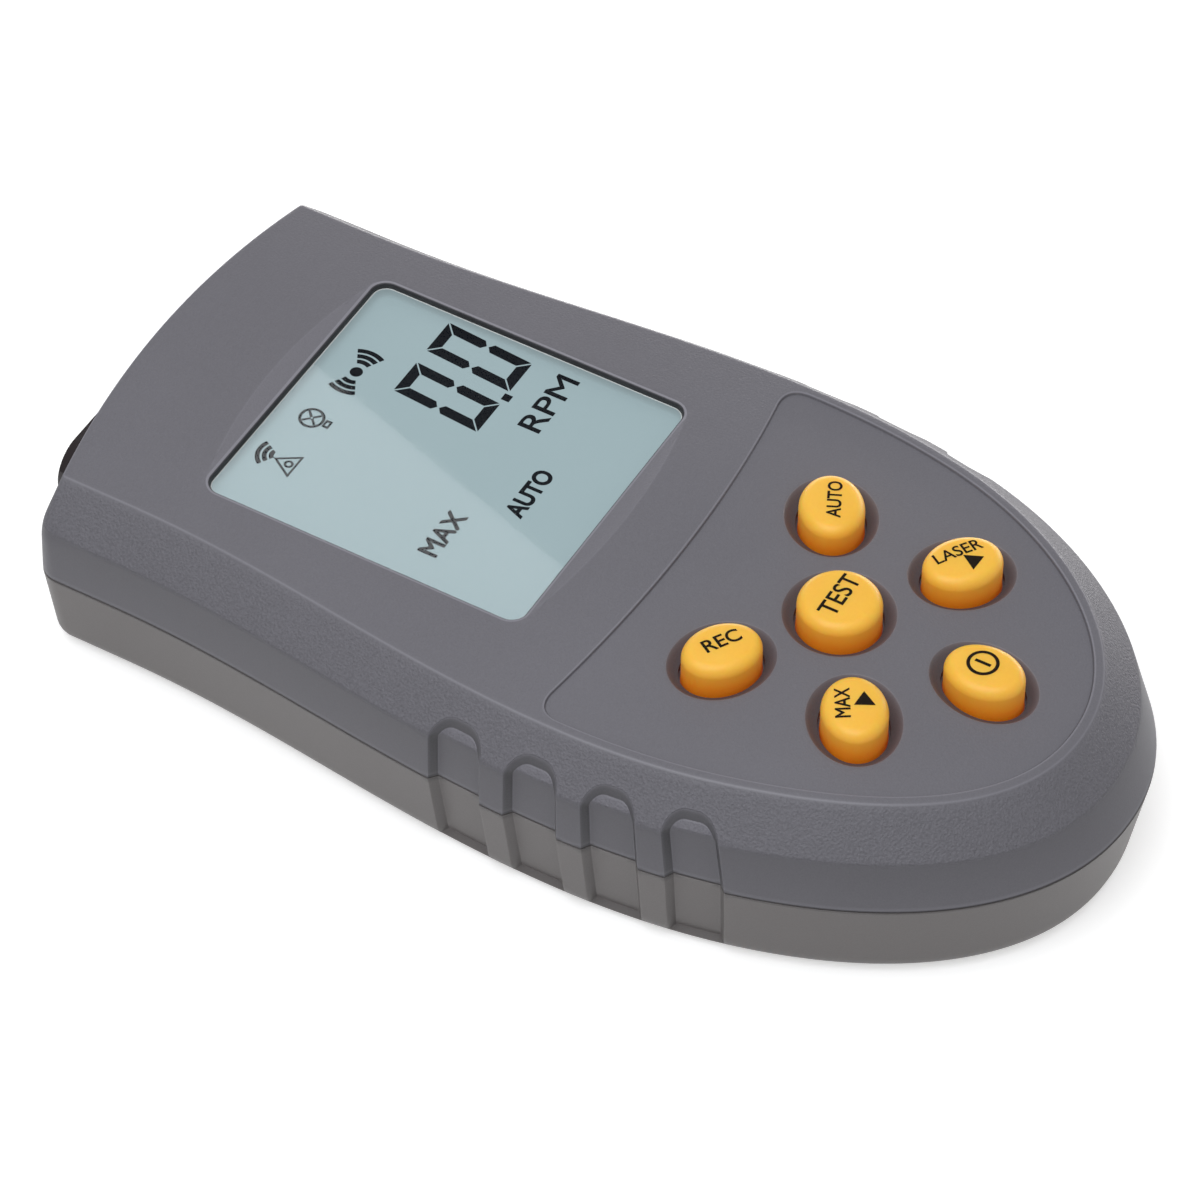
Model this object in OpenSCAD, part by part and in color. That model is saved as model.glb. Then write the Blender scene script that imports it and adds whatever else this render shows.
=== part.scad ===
// Hand-held laser tachometer: two moulded case halves, display, six keys, optics and battery.
// Millimetres. +Y points to the measuring end, +X to the right of the display, +Z up.
// The origin is under the middle of the case, on the surface that its back lies on.

/* [Case] */
// Length over both ends, at the parting line
case_l = 132.4; // [130:0.2:135]
// Width at the widest station, at the parting line
case_w = 71.8; // [70:0.2:74]
// Width beside the display, at the parting line
waist_w = 62.8; // [62:0.2:65]
// Height of the crown over the back
case_h = 27.4; // [27.2:0.1:28.6]
// Height of the parting line
parting_z = 13.2; // [12.6:0.1:13.8]
// Height of the bevel between the side wall and the face
bevel_h = 4.6; // [4.2:0.1:5]
// Station of the widest section
widest_y = -6.4; // [-9:0.2:-4]
// Station where the waist begins
waist_y = 53.2; // [51:0.2:55]
// Wall of both halves
wall = 1.9; // [1.6:0.1:2.1]
// Thickness of the crowned face
face_t = 1.7; // [1.5:0.1:1.8]
// Thickness of the back
floor_t = 2; // [1.8:0.1:2.2]
// Open seam between the two halves
seam = 0.3; // [0.2:0.05:0.4]
// Bow of the measuring end
end_bulge = 2.7; // [2:0.1:3]
// Corner radius in plan at the measuring end
corner_r = 3.2; // [2.6:0.1:3.6]
// Exponent of the rounded tail in plan
tail_exp = 2.1; // [2:0.05:2.3]
// Radius of the crown across the face
crown_r = 300; // [280:5:400]
// Radius of the fall of the face towards the tail
fall_r = 148; // [140:2:180]
// Station where the face starts to fall
fall_y = -27.3; // [-30:0.1:-25]

/* [Insets of the section] */
// Side wall at the shoulder, in from the parting line
shoulder_side = 0.2; // [0.1:0.1:0.6]
// Tail wall at the shoulder
shoulder_tail = 2.4; // [2:0.1:2.8]
// End wall at the shoulder
shoulder_end = 0.5; // [0.3:0.1:0.7]
// Edge of the face at the sides
crease_side = 5; // [4.6:0.1:5.4]
// Edge of the face at the tail
crease_tail = 7; // [6.6:0.1:7.4]
// Edge of the face at the measuring end
crease_end = 1.4; // [1.2:0.1:1.6]
// Back edge all round
base_in = 2; // [1.6:0.1:2.4]
// Back edge at the measuring end
base_end = 0.2; // [0.1:0.1:0.5]

/* [Display] */
// Width of the display opening
window_w = 39.8; // [38.6:0.2:40.6]
// Length of the display opening
window_l = 43; // [42:0.2:44]
// Station of the middle of the display
window_y = 25.2; // [24.8:0.1:25.8]
// Corner radius of the opening
window_r = 2; // [1.5:0.1:2.5]
// Depth of the lens under the flat rim
lens_drop = 0.8; // [0.6:0.1:0.9]
// Thickness of the lens
lens_t = 1.2; // [1:0.1:1.3]
// Width of the bond under the rim
lens_lip = 2.2; // [1.8:0.1:2.4]
// Length of the slope from the crown down to the rim
ramp_l = 2.7; // [2.4:0.1:3.2]
// Thickness of each sheet of the display glass
glass_t = 1; // [0.9:0.05:1.1]

/* [Keypad] */
// Station of the round key
test_y = -27.5; // [-28.2:0.1:-26.8]
// Diameter of the round key
test_d = 10; // [9.5:0.1:10.4]
// Length of an oval key
oval_l = 9.8; // [9.3:0.1:10.2]
// Width of an oval key
oval_w = 7.8; // [7.4:0.1:8.2]
// Sideways distance of the four outer keys
key_x = 13; // [12.6:0.1:13.6]
// Upper pair of keys, ahead of the round key
upper_dy = 8.2; // [8:0.1:8.6]
// Lower pair of keys, behind the round key
lower_dy = 9.1; // [8.8:0.1:9.5]
// Power key, behind the round key
power_dy = 18.9; // [18.5:0.1:19.1]
// Height of the keys over the panel
key_rise = 2.8; // [2.4:0.1:3.1]
// Travel of a key
key_travel = 0.8; // [0.5:0.1:0.8]
// Radius of the top edge of a key
key_edge = 0.8; // [0.6:0.1:1.1]
// Clearance round a key
key_gap = 0.3; // [0.25:0.05:0.4]
// Width of the dished rim round a key
dish_w = 1.35; // [1:0.05:1.6]
// Depth of the dished rim
dish_depth = 1.1; // [0.9:0.1:1.2]
// Depth of the keypad panel
panel_depth = 0.35; // [0.25:0.05:0.45]
// Margin between the panel and the edge of the face
panel_margin = 1.2; // [1:0.1:1.6]
// Station of the front edge of the panel, at the middle
panel_y = -7.2; // [-7.7:0.1:-6.3]
// Bow of that edge
panel_bow = 2.9; // [2:0.1:3.5]

/* [Grips] */
// Hollows on each side
grip_count = 4; // [2:1:4]
// Width of a hollow
grip_w = 7.2; // [6.4:0.2:7.6]
// Distance between hollows
grip_pitch = 10.3; // [9.8:0.05:10.6]
// Station of the middle of the row
grip_y = -12.3; // [-13.5:0.1:-11.5]
// Depth of a hollow
grip_depth = 1.1; // [0.8:0.1:1.2]
// Lower end of a hollow; under zero, it runs out through the back edge
grip_low = -3; // [-4:0.5:-2]
// Top of the arch
grip_high = 23.1; // [22.6:0.1:23.5]

/* [Battery] */
// Width of the battery
battery_w = 26.2; // [25.5:0.1:26.6]
// Thickness of the battery
battery_t = 17.2; // [16.5:0.1:17.4]
// Length of the battery, without its studs
battery_l = 46.2; // [45.5:0.1:46.6]
// Station of its tail end
battery_y = -54.5; // [-54.8:0.1:-54]
// Room round the battery
bay_gap = 0.4; // [0.3:0.05:0.5]
// Width of the ledge that the door closes against
bay_ledge = 1.5; // [1.2:0.1:1.8]
// Room ahead of the battery for the clip
bay_nose = 6.8; // [6.6:0.1:7.4]
// Thickness of the door
door_t = 1.5; // [1.3:0.1:1.6]
// Clearance round the door
door_gap = 0.25; // [0.2:0.05:0.35]
// Outside of the door over the resting surface
door_lift = 0.2; // [0.1:0.05:0.3]
// Width of a hook of the door
hook_w = 6; // [5:0.5:7]

/* [Optics] */
// Width of the filter plate
filter_w = 41; // [39:0.5:42]
// Middle of the filter plate and of the optics, sideways
filter_x = -3.5; // [-4:0.5:0]
// Front of the filter plate, behind the tip of the end
filter_set = 1.5; // [1.2:0.1:1.8]
// Lower edge of the filter plate
filter_low = 6; // [5.5:0.1:7]
// Upper edge of the filter plate
filter_high = 25.3; // [24.6:0.1:25.4]
// Thickness of the filter plate
filter_t = 2.2; // [1.8:0.1:2.6]
// Sideways distance of the two optical axes
optic_x = 10; // [9:0.2:11]
// Height of the optical axes
optic_z = 11.6; // [11:0.1:12]
// Diameter of the laser barrel
laser_d = 6.5; // [6:0.1:7]
// Length of the laser barrel
laser_l = 16; // [14:0.5:17]
// Diameter of the receiving lens
lens_d = 9; // [8:0.2:9.4]
// Wall of the two holder tubes
tube_wall = 1.8; // [1.5:0.1:2]

/* [Board and fasteners] */
// Thickness of the board
board_t = 1.2; // [1:0.1:1.3]
// Margin between the board and the case wall
board_margin = 2.3; // [2:0.1:2.8]
// Shank diameter of a case screw
screw_d = 2.2; // [2:0.1:2.4]
// Head diameter of a case screw
screw_head_d = 4.6; // [4.2:0.1:4.8]
// Height of the seat of a case screw
screw_seat = 6; // [5:0.1:6.4]
// Shank diameter of a board screw
pin_d = 1.5; // [1.3:0.1:1.6]
// Head diameter of a board screw
pin_head_d = 3.4; // [3:0.1:3.6]
// Diameter of a lead
lead_d = 1.3; // [1:0.1:1.5]

/* [Hidden] */

$fn = 64;
eps = 0.01;
far = 40;

// Points along each stretch of half the plan outline
tail_steps = 14;
side_steps = 9;
corner_steps = 3;
end_steps = 4;
oval_steps = 36;

// Colours
case_grey = [0.43, 0.43, 0.46];
key_orange = [0.93, 0.62, 0.16];
trim_black = [0.12, 0.12, 0.13];
clear_lens = [0.75, 0.85, 0.88, 0.4];
glass_teal = [0.62, 0.7, 0.72];
board_green = [0.1, 0.35, 0.2];
steel = [0.7, 0.7, 0.72];
brass = [0.8, 0.65, 0.3];

// Small fits
fit = 0.15;
tongue_h = 1.3;
tongue_in = wall / 2 + fit;
base_edge = 1.5;

// Corners at the measuring end get sharper as the outline is drawn in
corner_min = 0.3;
corner_loss = 2;

// Heights of the stack under the face
rim_z = face_z(window_w / 2, window_y);
lens_top = rim_z - lens_drop;
glass_top = lens_top - lens_t - fit;
glass_low = glass_top - 2 * glass_t;
battery_z = door_lift + door_t + fit;
board_low = battery_z + battery_t + 0.4;
board_top = board_low + board_t;
mat_t = 0.8;
mat_top = board_top + mat_t;
dome_h = key_travel + 0.1;
dome_top = mat_top + dome_h;
flange_t = 0.6;
flange_w = 0.9;
flange_gap = 0.4;
stem_d = 4.4;

// Battery bay, in plan
bay_half = battery_w / 2 + bay_gap;
bay_tail = battery_y - bay_gap;
bay_head = battery_y + battery_l + bay_nose;
door_half = bay_half + bay_ledge;
door_tail = bay_tail - bay_ledge;
door_head = bay_head + bay_ledge;
bay_wall = bay_ledge + 1.2;
bay_top = battery_z + battery_t - 3;
hook_x = 8;
hook_reach = 2.3;
latch_w = 8;

// Keys: middle, turn and half axes of each
keys = [
    ["test", [0, test_y], 0, test_d / 2, test_d / 2],
    ["rec", [-key_x, test_y + upper_dy], 180 - atan2(upper_dy, key_x), oval_l / 2, oval_w / 2],
    ["auto", [key_x, test_y + upper_dy], atan2(upper_dy, key_x), oval_l / 2, oval_w / 2],
    ["max", [-key_x, test_y - lower_dy], 180 + atan2(lower_dy, key_x), oval_l / 2, oval_w / 2],
    ["laser", [key_x, test_y - lower_dy], -atan2(lower_dy, key_x), oval_l / 2, oval_w / 2],
    ["power", [0, test_y - power_dy], -90, oval_l / 2, oval_w / 2]
];

// Display stack, in plan: the glass, the ledge of its contacts and the frame round it
ledge = 3;
glass_w = window_w + 2 * lens_lip - 0.8;
glass_l = window_l + 2 * lens_lip + 0.6;
frame_rim = 1.3;
frame_w = glass_w + 2 * (fit + frame_rim);
frame_l = glass_l + 2 * (fit + frame_rim);
frame_front = window_y + frame_l / 2;

// Fasteners: towers of the case screws and posts of the board
tower_d = screw_d + 3.8;
tower_y = frame_front + tower_d / 2 + 0.3;
tower_x = 24;
tower_at = [[tower_x, tower_y], [-tower_x, tower_y], [25, -29], [-25, -29]];
post_d = pin_d + 2.7;
post_y = frame_front + post_d / 2 + 0.3;
post_at = [[12, post_y], [-12, post_y], [24.5, -8], [-24.5, -8]];

// Optics, along Y
filter_back = case_l / 2 - filter_set - filter_t;
filter_z = (filter_low + filter_high) / 2;
filter_r = 4;
laser_x = filter_x - optic_x;
eye_x = filter_x + optic_x;
tube_front = filter_back - 0.6;
tube_back = tube_front - laser_l;
laser_front = tube_front - 1.5;
eye_seat = tube_front - 3.6;
eye_r = 2.5;

// Height of the crowned face at a point in plan
function face_z(x, y) =
    case_h - x * x / (2 * crown_r) - pow(max(0, fall_y - y), 2) / (2 * fall_r);

// Right half of the plan outline, from the tail to the middle of the measuring end
function half_outline(side, tail, end) =
    let(
        wide = case_w / 2 - side,
        waist = waist_w / 2 - side,
        tip = widest_y + case_l / 2 - tail,
        nose = case_l / 2 - end,
        r = max(corner_min, corner_r - corner_loss * end),
        tilt = atan(2 * end_bulge * (waist - r) / (waist * waist)),
        xe = waist - r + r * sin(tilt),
        yc = nose - end_bulge * pow(xe / waist, 2) - r * cos(tilt)
    )
    concat(
        [for (i = [0 : tail_steps])
            let(a = 90 * i / tail_steps)
            [wide * pow(sin(a), 2 / tail_exp), widest_y - tip * pow(cos(a), 2 / tail_exp)]],
        [for (i = [1 : side_steps])
            [waist + (wide - waist) * (1 + cos(180 * i / side_steps)) / 2,
             widest_y + (waist_y - widest_y) * i / side_steps]],
        [for (i = [0 : corner_steps])
            let(a = (90 - tilt) * i / corner_steps)
            [waist - r + r * cos(a), yc + r * sin(a)]],
        [for (i = [1 : end_steps])
            let(x = xe * (1 - i / end_steps))
            [x, nose - end_bulge * pow(x / waist, 2)]]
    );

// A half outline closed by its mirror image
function closed(half) =
    concat(half, [for (i = [len(half) - 2 : -1 : 1]) [-half[i].x, half[i].y]]);

function outline(side, tail, end) = closed(half_outline(side, tail, end));

// Rings of points at a fixed height, or on the face lowered by a depth
function flat_ring(points, z) = [for (p = points) [p.x, p.y, z]];
function face_ring(points, depth) = [for (p = points) [p.x, p.y, face_z(p.x, p.y) - depth]];

// The shoulder: a ring lower than the edge of the face by the height of the bevel
function shoulder_ring(margin) =
    let(
        low = outline(shoulder_side + margin, shoulder_tail + margin, shoulder_end + margin),
        edge = outline(crease_side, crease_tail, crease_end)
    )
    [for (i = [0 : len(low) - 1]) [low[i].x, low[i].y, face_z(edge[i].x, edge[i].y) - bevel_h]];

// A plan outline drawn in towards its middle
function drawn_in(points, middle, share) =
    [for (p = points) [p.x * share, middle + (p.y - middle) * share]];

// An oval in plan, grown by a margin
function oval(key, margin) =
    [for (i = [0 : oval_steps - 1])
        let(a = 360 * i / oval_steps, u = (key[3] + margin) * cos(a), v = (key[4] + margin) * sin(a))
        [key[1].x + u * cos(key[2]) - v * sin(key[2]), key[1].y + u * sin(key[2]) + v * cos(key[2])]];

// Underside of the face over the flange of a key, at its lowest
function key_ceiling(key) =
    let(reach = key[3] + flange_w)
    face_z(abs(key[1].x) + reach / 2, key[1].y - reach) - face_t;

// A closed solid through a stack of rings, from a first middle point to a last one
module ring_solid(first, rings, last) {
    n = len(rings[0]);
    m = len(rings);
    points = concat([first], [for (r = rings, p = r) p], [last]);
    end = len(points) - 1;
    faces = concat(
        [for (j = [0 : n - 1]) [0, 1 + j, 1 + (j + 1) % n]],
        [for (i = [0 : m - 2], j = [0 : n - 1])
            let(a = 1 + i * n + j, b = 1 + i * n + (j + 1) % n)
            [a, b + n, b]],
        [for (i = [0 : m - 2], j = [0 : n - 1])
            let(a = 1 + i * n + j, b = 1 + i * n + (j + 1) % n)
            [a, a + n, b + n]],
        [for (j = [0 : n - 1])
            let(k = 1 + (m - 1) * n)
            [end, k + (j + 1) % n, k + j]]
    );
    polyhedron(points, faces);
}

// A flat plate with rounded corners, its middle at the origin
module plate(w, l, t, r) {
    linear_extrude(t) {
        square([w - 2 * r, l], center = true);
        square([w, l - 2 * r], center = true);
        for (sx = [-1, 1], sy = [-1, 1]) {
            translate([sx * (w / 2 - r), sy * (l / 2 - r)]) circle(r);
        }
    }
}

// A block given by its two corners
module block(low, high) {
    translate(low) cube(high - low);
}

// A rod along Y
module rod(x, z, y0, y1, r) {
    translate([x, y0, z]) rotate([-90, 0, 0]) cylinder(h = y1 - y0, r = r);
}

// A round wire along a list of points
module wire(route, d) {
    sides = 8;
    last = len(route) - 1;
    rings = [for (i = [0 : last])
        let(
            ahead = route[min(i + 1, last)] - route[max(i - 1, 0)],
            t = ahead / norm(ahead),
            u = [1, 0, 0],
            v = cross(t, u)
        )
        [for (k = [0 : sides - 1])
            route[i] + d / 2 * (cos(360 * k / sides) * u + sin(360 * k / sides) * v)]];
    ring_solid(route[0], rings, route[last]);
}

// Everything outside the section of the case, with the hollow's depth taken in
module outside_of_section(half, y) {
    top = face_z(half - crease_side, y);
    rotate([90, 0, 0])
        linear_extrude(grip_w + 1, center = true)
            polygon([
                [half - base_in - grip_depth, -eps],
                [half - grip_depth, parting_z],
                [half - shoulder_side - grip_depth, top - bevel_h],
                [half - crease_side - grip_depth, top],
                [half + 3, top],
                [half + 3, -eps]
            ]);
}

// One grip hollow on the right side: an arch pushed into the section
module grip_hollow(y) {
    share = (y - widest_y) / (waist_y - widest_y);
    drop = pow(abs(min(0, y - widest_y)) / (widest_y + case_l / 2), tail_exp);
    half = y > widest_y
        ? waist_w / 2 + (case_w - waist_w) / 2 * (1 + cos(180 * share)) / 2
        : case_w / 2 * pow(1 - drop, 1 / tail_exp);
    ahead = y > widest_y
        ? -(case_w - waist_w) / 4 * PI * sin(180 * share) / (waist_y - widest_y)
        : case_w / 2 * pow(1 - drop, 1 / tail_exp - 1) * drop / max(eps, widest_y - y);
    tall = grip_high - grip_low;
    reach = 8;
    translate([half, y, 0]) rotate([0, 0, -atan(ahead)]) translate([-half, 0, 0])
        intersection() {
            outside_of_section(half, y);
            translate([half - reach, 0, grip_low + tall / 2]) rotate([90, 0, 90])
                plate(grip_w, tall, 2 * reach, grip_w * 0.42);
        }
}

module grip_hollows() {
    for (i = [0 : grip_count - 1]) {
        y = grip_y + (i - (grip_count - 1) / 2) * grip_pitch;
        grip_hollow(y);
        mirror([1, 0, 0]) grip_hollow(y);
    }
}

// The filter's place in the end wall
module filter_place() {
    translate([filter_x, filter_back - 2, filter_z]) rotate([-90, 0, 0])
        plate(filter_w + 2 * fit, filter_high - filter_low + 2 * fit, filter_t + 6, filter_r + fit);
}

// The keypad panel, with its floor at one depth under the face
module panel_cut() {
    side = crease_side + panel_margin;
    tail = crease_tail + panel_margin;
    wide = case_w / 2 - side;
    tip = widest_y + case_l / 2 - tail;
    round = 3.2;
    corner = panel_y + panel_bow;
    start = corner - round;
    stop = acos(pow((widest_y - start) / tip, tail_exp / 2));
    steps = 6;
    half = concat(
        [for (i = [0 : tail_steps])
            let(a = stop * i / tail_steps)
            [wide * pow(sin(a), 2 / tail_exp), widest_y - tip * pow(cos(a), 2 / tail_exp)]],
        [for (i = [1 : steps])
            let(t = i / steps)
            [wide - round * t * t, start + round * t * (2 - t) - 0.4 * t * t]],
        [for (i = [1 : steps])
            let(x = (wide - round) * (1 - i / steps))
            [x, panel_y + (panel_bow - 0.4) * pow(x / (wide - round), 2)]]
    );
    edge = closed(half);
    ring_solid(
        [0, test_y, face_z(0, test_y) - panel_depth],
        concat(
            [for (share = [0.3, 0.55, 0.8, 1]) face_ring(drawn_in(edge, test_y, share), panel_depth)],
            [flat_ring(edge, case_h + 1)]
        ),
        [0, test_y, case_h + 1]
    );
}

// The hole of one key and the dished rim above it
module key_hole(key) {
    z = face_z(key[1].x, key[1].y) - panel_depth;
    ring_solid(
        [key[1].x, key[1].y, z - dish_depth],
        [
            flat_ring(oval(key, key_gap), z - dish_depth),
            flat_ring(oval(key, key_gap + 2 * dish_w), z + dish_depth)
        ],
        [key[1].x, key[1].y, z + dish_depth]
    );
    translate([0, 0, board_top]) linear_extrude(z - board_top) polygon(oval(key, key_gap));
}

// The display opening, the bond seat of the lens and the slopes down from the crown
module display_cut() {
    seat = 2 * (lens_lip + fit);
    rise = case_h - rim_z;
    translate([0, window_y, glass_low]) plate(window_w, window_l, far, window_r);
    translate([0, window_y, board_top])
        plate(window_w + seat, window_l + seat, lens_top - board_top, window_r);
    for (s = [-1, 1]) {
        translate([0, window_y, 0]) scale_y(s)
            rotate([90, 0, 90]) linear_extrude(window_w + 8, center = true)
                polygon([
                    [window_l / 2 - 1, rim_z],
                    [window_l / 2, rim_z],
                    [window_l / 2 + ramp_l * 2, rim_z + rise * 2],
                    [window_l / 2 - 1, rim_z + rise * 2]
                ]);
    }
}

// A copy turned end for end when s is -1
module scale_y(s) {
    if (s < 0) {
        mirror([0, 1, 0]) children();
    } else {
        children();
    }
}

module upper_shell() {
    low = parting_z + seam / 2;
    crease = outline(crease_side, crease_tail, crease_end);
    inner = outline(crease_side + wall, crease_tail + wall, crease_end + wall);
    middle = (crease_end - crease_tail) / 2;
    ring_solid(
        [0, 0, face_z(0, 0) - face_t],
        concat(
            [for (share = [0.2 : 0.2 : 1]) face_ring(drawn_in(inner, middle, share), face_t)],
            [shoulder_ring(wall)],
            [flat_ring(outline(wall, wall, wall), low - tongue_h)],
            [flat_ring(outline(tongue_in, tongue_in, tongue_in), low - tongue_h)],
            [flat_ring(outline(tongue_in, tongue_in, tongue_in), low)],
            [flat_ring(outline(0, 0, 0), low)],
            [shoulder_ring(0)],
            [for (share = [1 : -0.2 : 0.1]) face_ring(drawn_in(crease, middle, share), 0)]
        ),
        [0, 0, face_z(0, 0)]
    );
}

module upper_case() {
    color(case_grey) difference() {
        union() {
            upper_shell();
            for (p = tower_at) {
                translate([p.x, p.y, parting_z + seam / 2])
                    cylinder(h = face_z(p.x, p.y) - face_t / 2 - parting_z - seam / 2, d = tower_d);
            }
            for (p = post_at) {
                translate([p.x, p.y, board_top])
                    cylinder(h = face_z(p.x, p.y) - face_t / 2 - board_top, d = post_d);
            }
        }
        display_cut();
        panel_cut();
        for (key = keys) {
            key_hole(key);
        }
        grip_hollows();
        filter_place();
        for (p = tower_at) {
            translate([p.x, p.y, 0]) cylinder(h = board_top, d = screw_d + 0.1);
        }
        for (p = post_at) {
            translate([p.x, p.y, board_top - 1]) cylinder(h = 3.6, d = pin_d + 0.1);
        }
    }
}

module lower_shell() {
    high = parting_z - seam / 2;
    rebate = high - tongue_h - fit;
    lip = wall / 2;
    ring_solid(
        [0, 0, 0],
        [
            flat_ring(outline(base_in + base_edge, base_in + base_edge, base_end + base_edge), 0),
            flat_ring(outline(base_in, base_in, base_end), base_edge),
            flat_ring(outline(0, 0, 0), high),
            flat_ring(outline(lip, lip, lip), high),
            flat_ring(outline(lip, lip, lip), rebate),
            flat_ring(outline(wall, wall, wall), rebate),
            flat_ring(outline(base_in + wall, base_in + wall, base_end + wall), floor_t)
        ],
        [0, 0, floor_t]
    );
}

// The rib round the battery bay, which is also the ledge of the door
module bay_rib() {
    clear = wall + 0.6;
    low = [-bay_half - bay_wall, bay_tail - bay_wall, floor_t - eps];
    high = [bay_half + bay_wall, bay_head + bay_wall, bay_top];
    difference() {
        union() {
            block(low, [high.x, high.y, parting_z - 2 * tongue_h]);
            intersection() {
                block(low, high);
                linear_extrude(far)
                    polygon(outline(shoulder_side + clear, shoulder_tail + clear, shoulder_end + clear));
            }
        }
        block([-bay_half, bay_tail, 0], [bay_half, bay_head, far]);
    }
}

// Room for the door, its hooks and its latch
module door_place() {
    block([-door_half, door_tail, -1], [door_half, door_head, door_lift + door_t + fit]);
    block([-bay_half, bay_tail, -1], [bay_half, bay_head, far]);
    for (s = [-1, 1]) {
        block([s * hook_x - hook_w / 2 - 0.5, bay_head - 1, floor_t],
            [s * hook_x + hook_w / 2 + 0.5, bay_head + bay_wall + 1, floor_t + 4]);
        block([s * hook_x - hook_w / 2 - 0.5, bay_head - 1, door_lift],
            [s * hook_x + hook_w / 2 + 0.5, door_head, floor_t + 4]);
    }
    block([-latch_w / 2 - 0.5, door_tail, door_lift], [latch_w / 2 + 0.5, bay_tail + 1, floor_t + 5.5]);
}

module lower_case() {
    color(case_grey) difference() {
        union() {
            lower_shell();
            bay_rib();
            for (p = tower_at) {
                translate([p.x, p.y, floor_t - eps])
                    cylinder(h = parting_z - seam / 2 - floor_t + eps, d = screw_head_d + 2.6);
            }
            for (s = [-1, 1]) {
                translate([filter_x + s * (filter_w / 2 - 2.5), filter_back, 0])
                    block([-1.5, -2, floor_t - eps], [1.5, 0, parting_z - seam]);
            }
        }
        door_place();
        grip_hollows();
        difference() {
            filter_place();
            block([-far, filter_back - 6, 0], [far, filter_back, far]);
        }
        for (p = tower_at) {
            translate([p.x, p.y, -1]) cylinder(h = screw_seat + 1, d = screw_head_d + 0.4);
            translate([p.x, p.y, 0]) cylinder(h = parting_z, d = screw_d + 0.4);
        }
    }
}

module battery_door() {
    low = door_lift;
    high = door_lift + door_t;
    width = 2 * (door_half - door_gap);
    length = door_head - door_tail - 2 * door_gap;
    groove = 0.5;
    color(case_grey) difference() {
        union() {
            translate([0, (door_head + door_tail) / 2, low]) plate(width, length, door_t, 0.6);
            for (s = [-1, 1]) {
                block([s * hook_x - hook_w / 2, bay_head - 0.5, high - eps],
                    [s * hook_x + hook_w / 2, bay_head + 0.7, floor_t + fit + 1]);
                block([s * hook_x - hook_w / 2, bay_head - 0.5, floor_t + fit],
                    [s * hook_x + hook_w / 2, door_head + hook_reach, floor_t + fit + 1]);
            }
            block([-latch_w / 2, bay_tail - 0.8, high - eps], [latch_w / 2, bay_tail + 0.2, floor_t + 4]);
            block([-latch_w / 2, door_tail + 0.35, floor_t + fit],
                [latch_w / 2, bay_tail - 0.7, floor_t + 1]);
        }
        for (i = [0 : 3]) {
            block([-latch_w, door_tail + 5 + 2 * i, low - 1], [latch_w, door_tail + 6 + 2 * i, low + groove]);
        }
    }
}

module display_window() {
    color(clear_lens)
        translate([0, window_y, lens_top - lens_t])
            plate(window_w + 2 * lens_lip, window_l + 2 * lens_lip, lens_t, window_r);
}

module lcd_panel() {
    color(glass_teal) union() {
        translate([0, window_y, glass_top - glass_t]) plate(glass_w, glass_l, glass_t, 0.3);
        translate([0, window_y, glass_low]) plate(glass_w, glass_l - 2 * ledge, glass_t + eps, 0.3);
    }
}

module lcd_frame() {
    rest = 1.2;
    color(trim_black) translate([0, window_y, board_top]) difference() {
        plate(frame_w, frame_l, glass_top - board_top, 1);
        translate([0, 0, glass_low - board_top]) plate(glass_w + 2 * fit, glass_l + 2 * fit, far, 0.3);
        translate([0, 0, -1]) plate(glass_w - 2 * rest, glass_l - 0.4, far, 0.3);
    }
}

module zebra_strips() {
    color(trim_black)
        for (s = [-1, 1]) {
            translate([0, window_y + s * (glass_l - ledge) / 2, board_top])
                plate(glass_w - 4, ledge - 1, glass_top - glass_t - board_top, 0.2);
        }
}

module main_board() {
    side = shoulder_side + wall + board_margin;
    tail = crease_tail + wall / 2;
    color(board_green) difference() {
        translate([0, 0, board_low]) linear_extrude(board_t) polygon(outline(side, tail, wall + 6));
        for (p = tower_at) {
            translate([p.x, p.y, 0]) cylinder(h = far, d = tower_d + 0.8);
        }
        for (p = post_at) {
            translate([p.x, p.y, 0]) cylinder(h = far, d = pin_d + 0.2);
        }
    }
}

module keypad_mat() {
    side = shoulder_side + wall + board_margin + 4;
    tail = crease_tail + wall + 1;
    color([0.75, 0.75, 0.72]) union() {
        translate([0, 0, board_top]) linear_extrude(mat_t) difference() {
            intersection() {
                polygon(outline(side, tail, 0));
                translate([-far, -2 * far]) square([2 * far, 2 * far + panel_y - 4]);
            }
            for (p = tower_at) {
                translate([p.x, p.y]) circle(d = tower_d + 0.8);
            }
        }
        for (key = keys) {
            translate([key[1].x, key[1].y, mat_top - eps])
                cylinder(h = dome_h + eps, r1 = 3.4, r2 = stem_d / 2);
        }
    }
}

// A key: cap with a rounded edge, retaining flange and stem
module key_cap(index) {
    key = keys[index];
    x = key[1].x;
    y = key[1].y;
    top = face_z(x, y) - panel_depth + key_rise;
    flange = key_ceiling(key) - flange_gap;
    edge_steps = 4;
    color(key_orange) union() {
        ring_solid(
            [x, y, flange - flange_t / 2],
            concat(
                [flat_ring(oval(key, 0), flange - flange_t / 2)],
                [for (i = [0 : edge_steps])
                    let(a = 90 * i / edge_steps)
                    flat_ring(oval(key, -key_edge * (1 - cos(a))), top - key_edge + key_edge * sin(a) * 0.9)]
            ),
            [x, y, top]
        );
        translate([0, 0, flange - flange_t]) linear_extrude(flange_t) polygon(oval(key, flange_w));
        translate([x, y, dome_top]) cylinder(h = flange - flange_t / 2 - dome_top, d = stem_d);
    }
}

module front_window() {
    color(trim_black)
        translate([filter_x, filter_back, filter_z]) rotate([-90, 0, 0])
            plate(filter_w, filter_high - filter_low, filter_t, filter_r);
}

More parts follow.
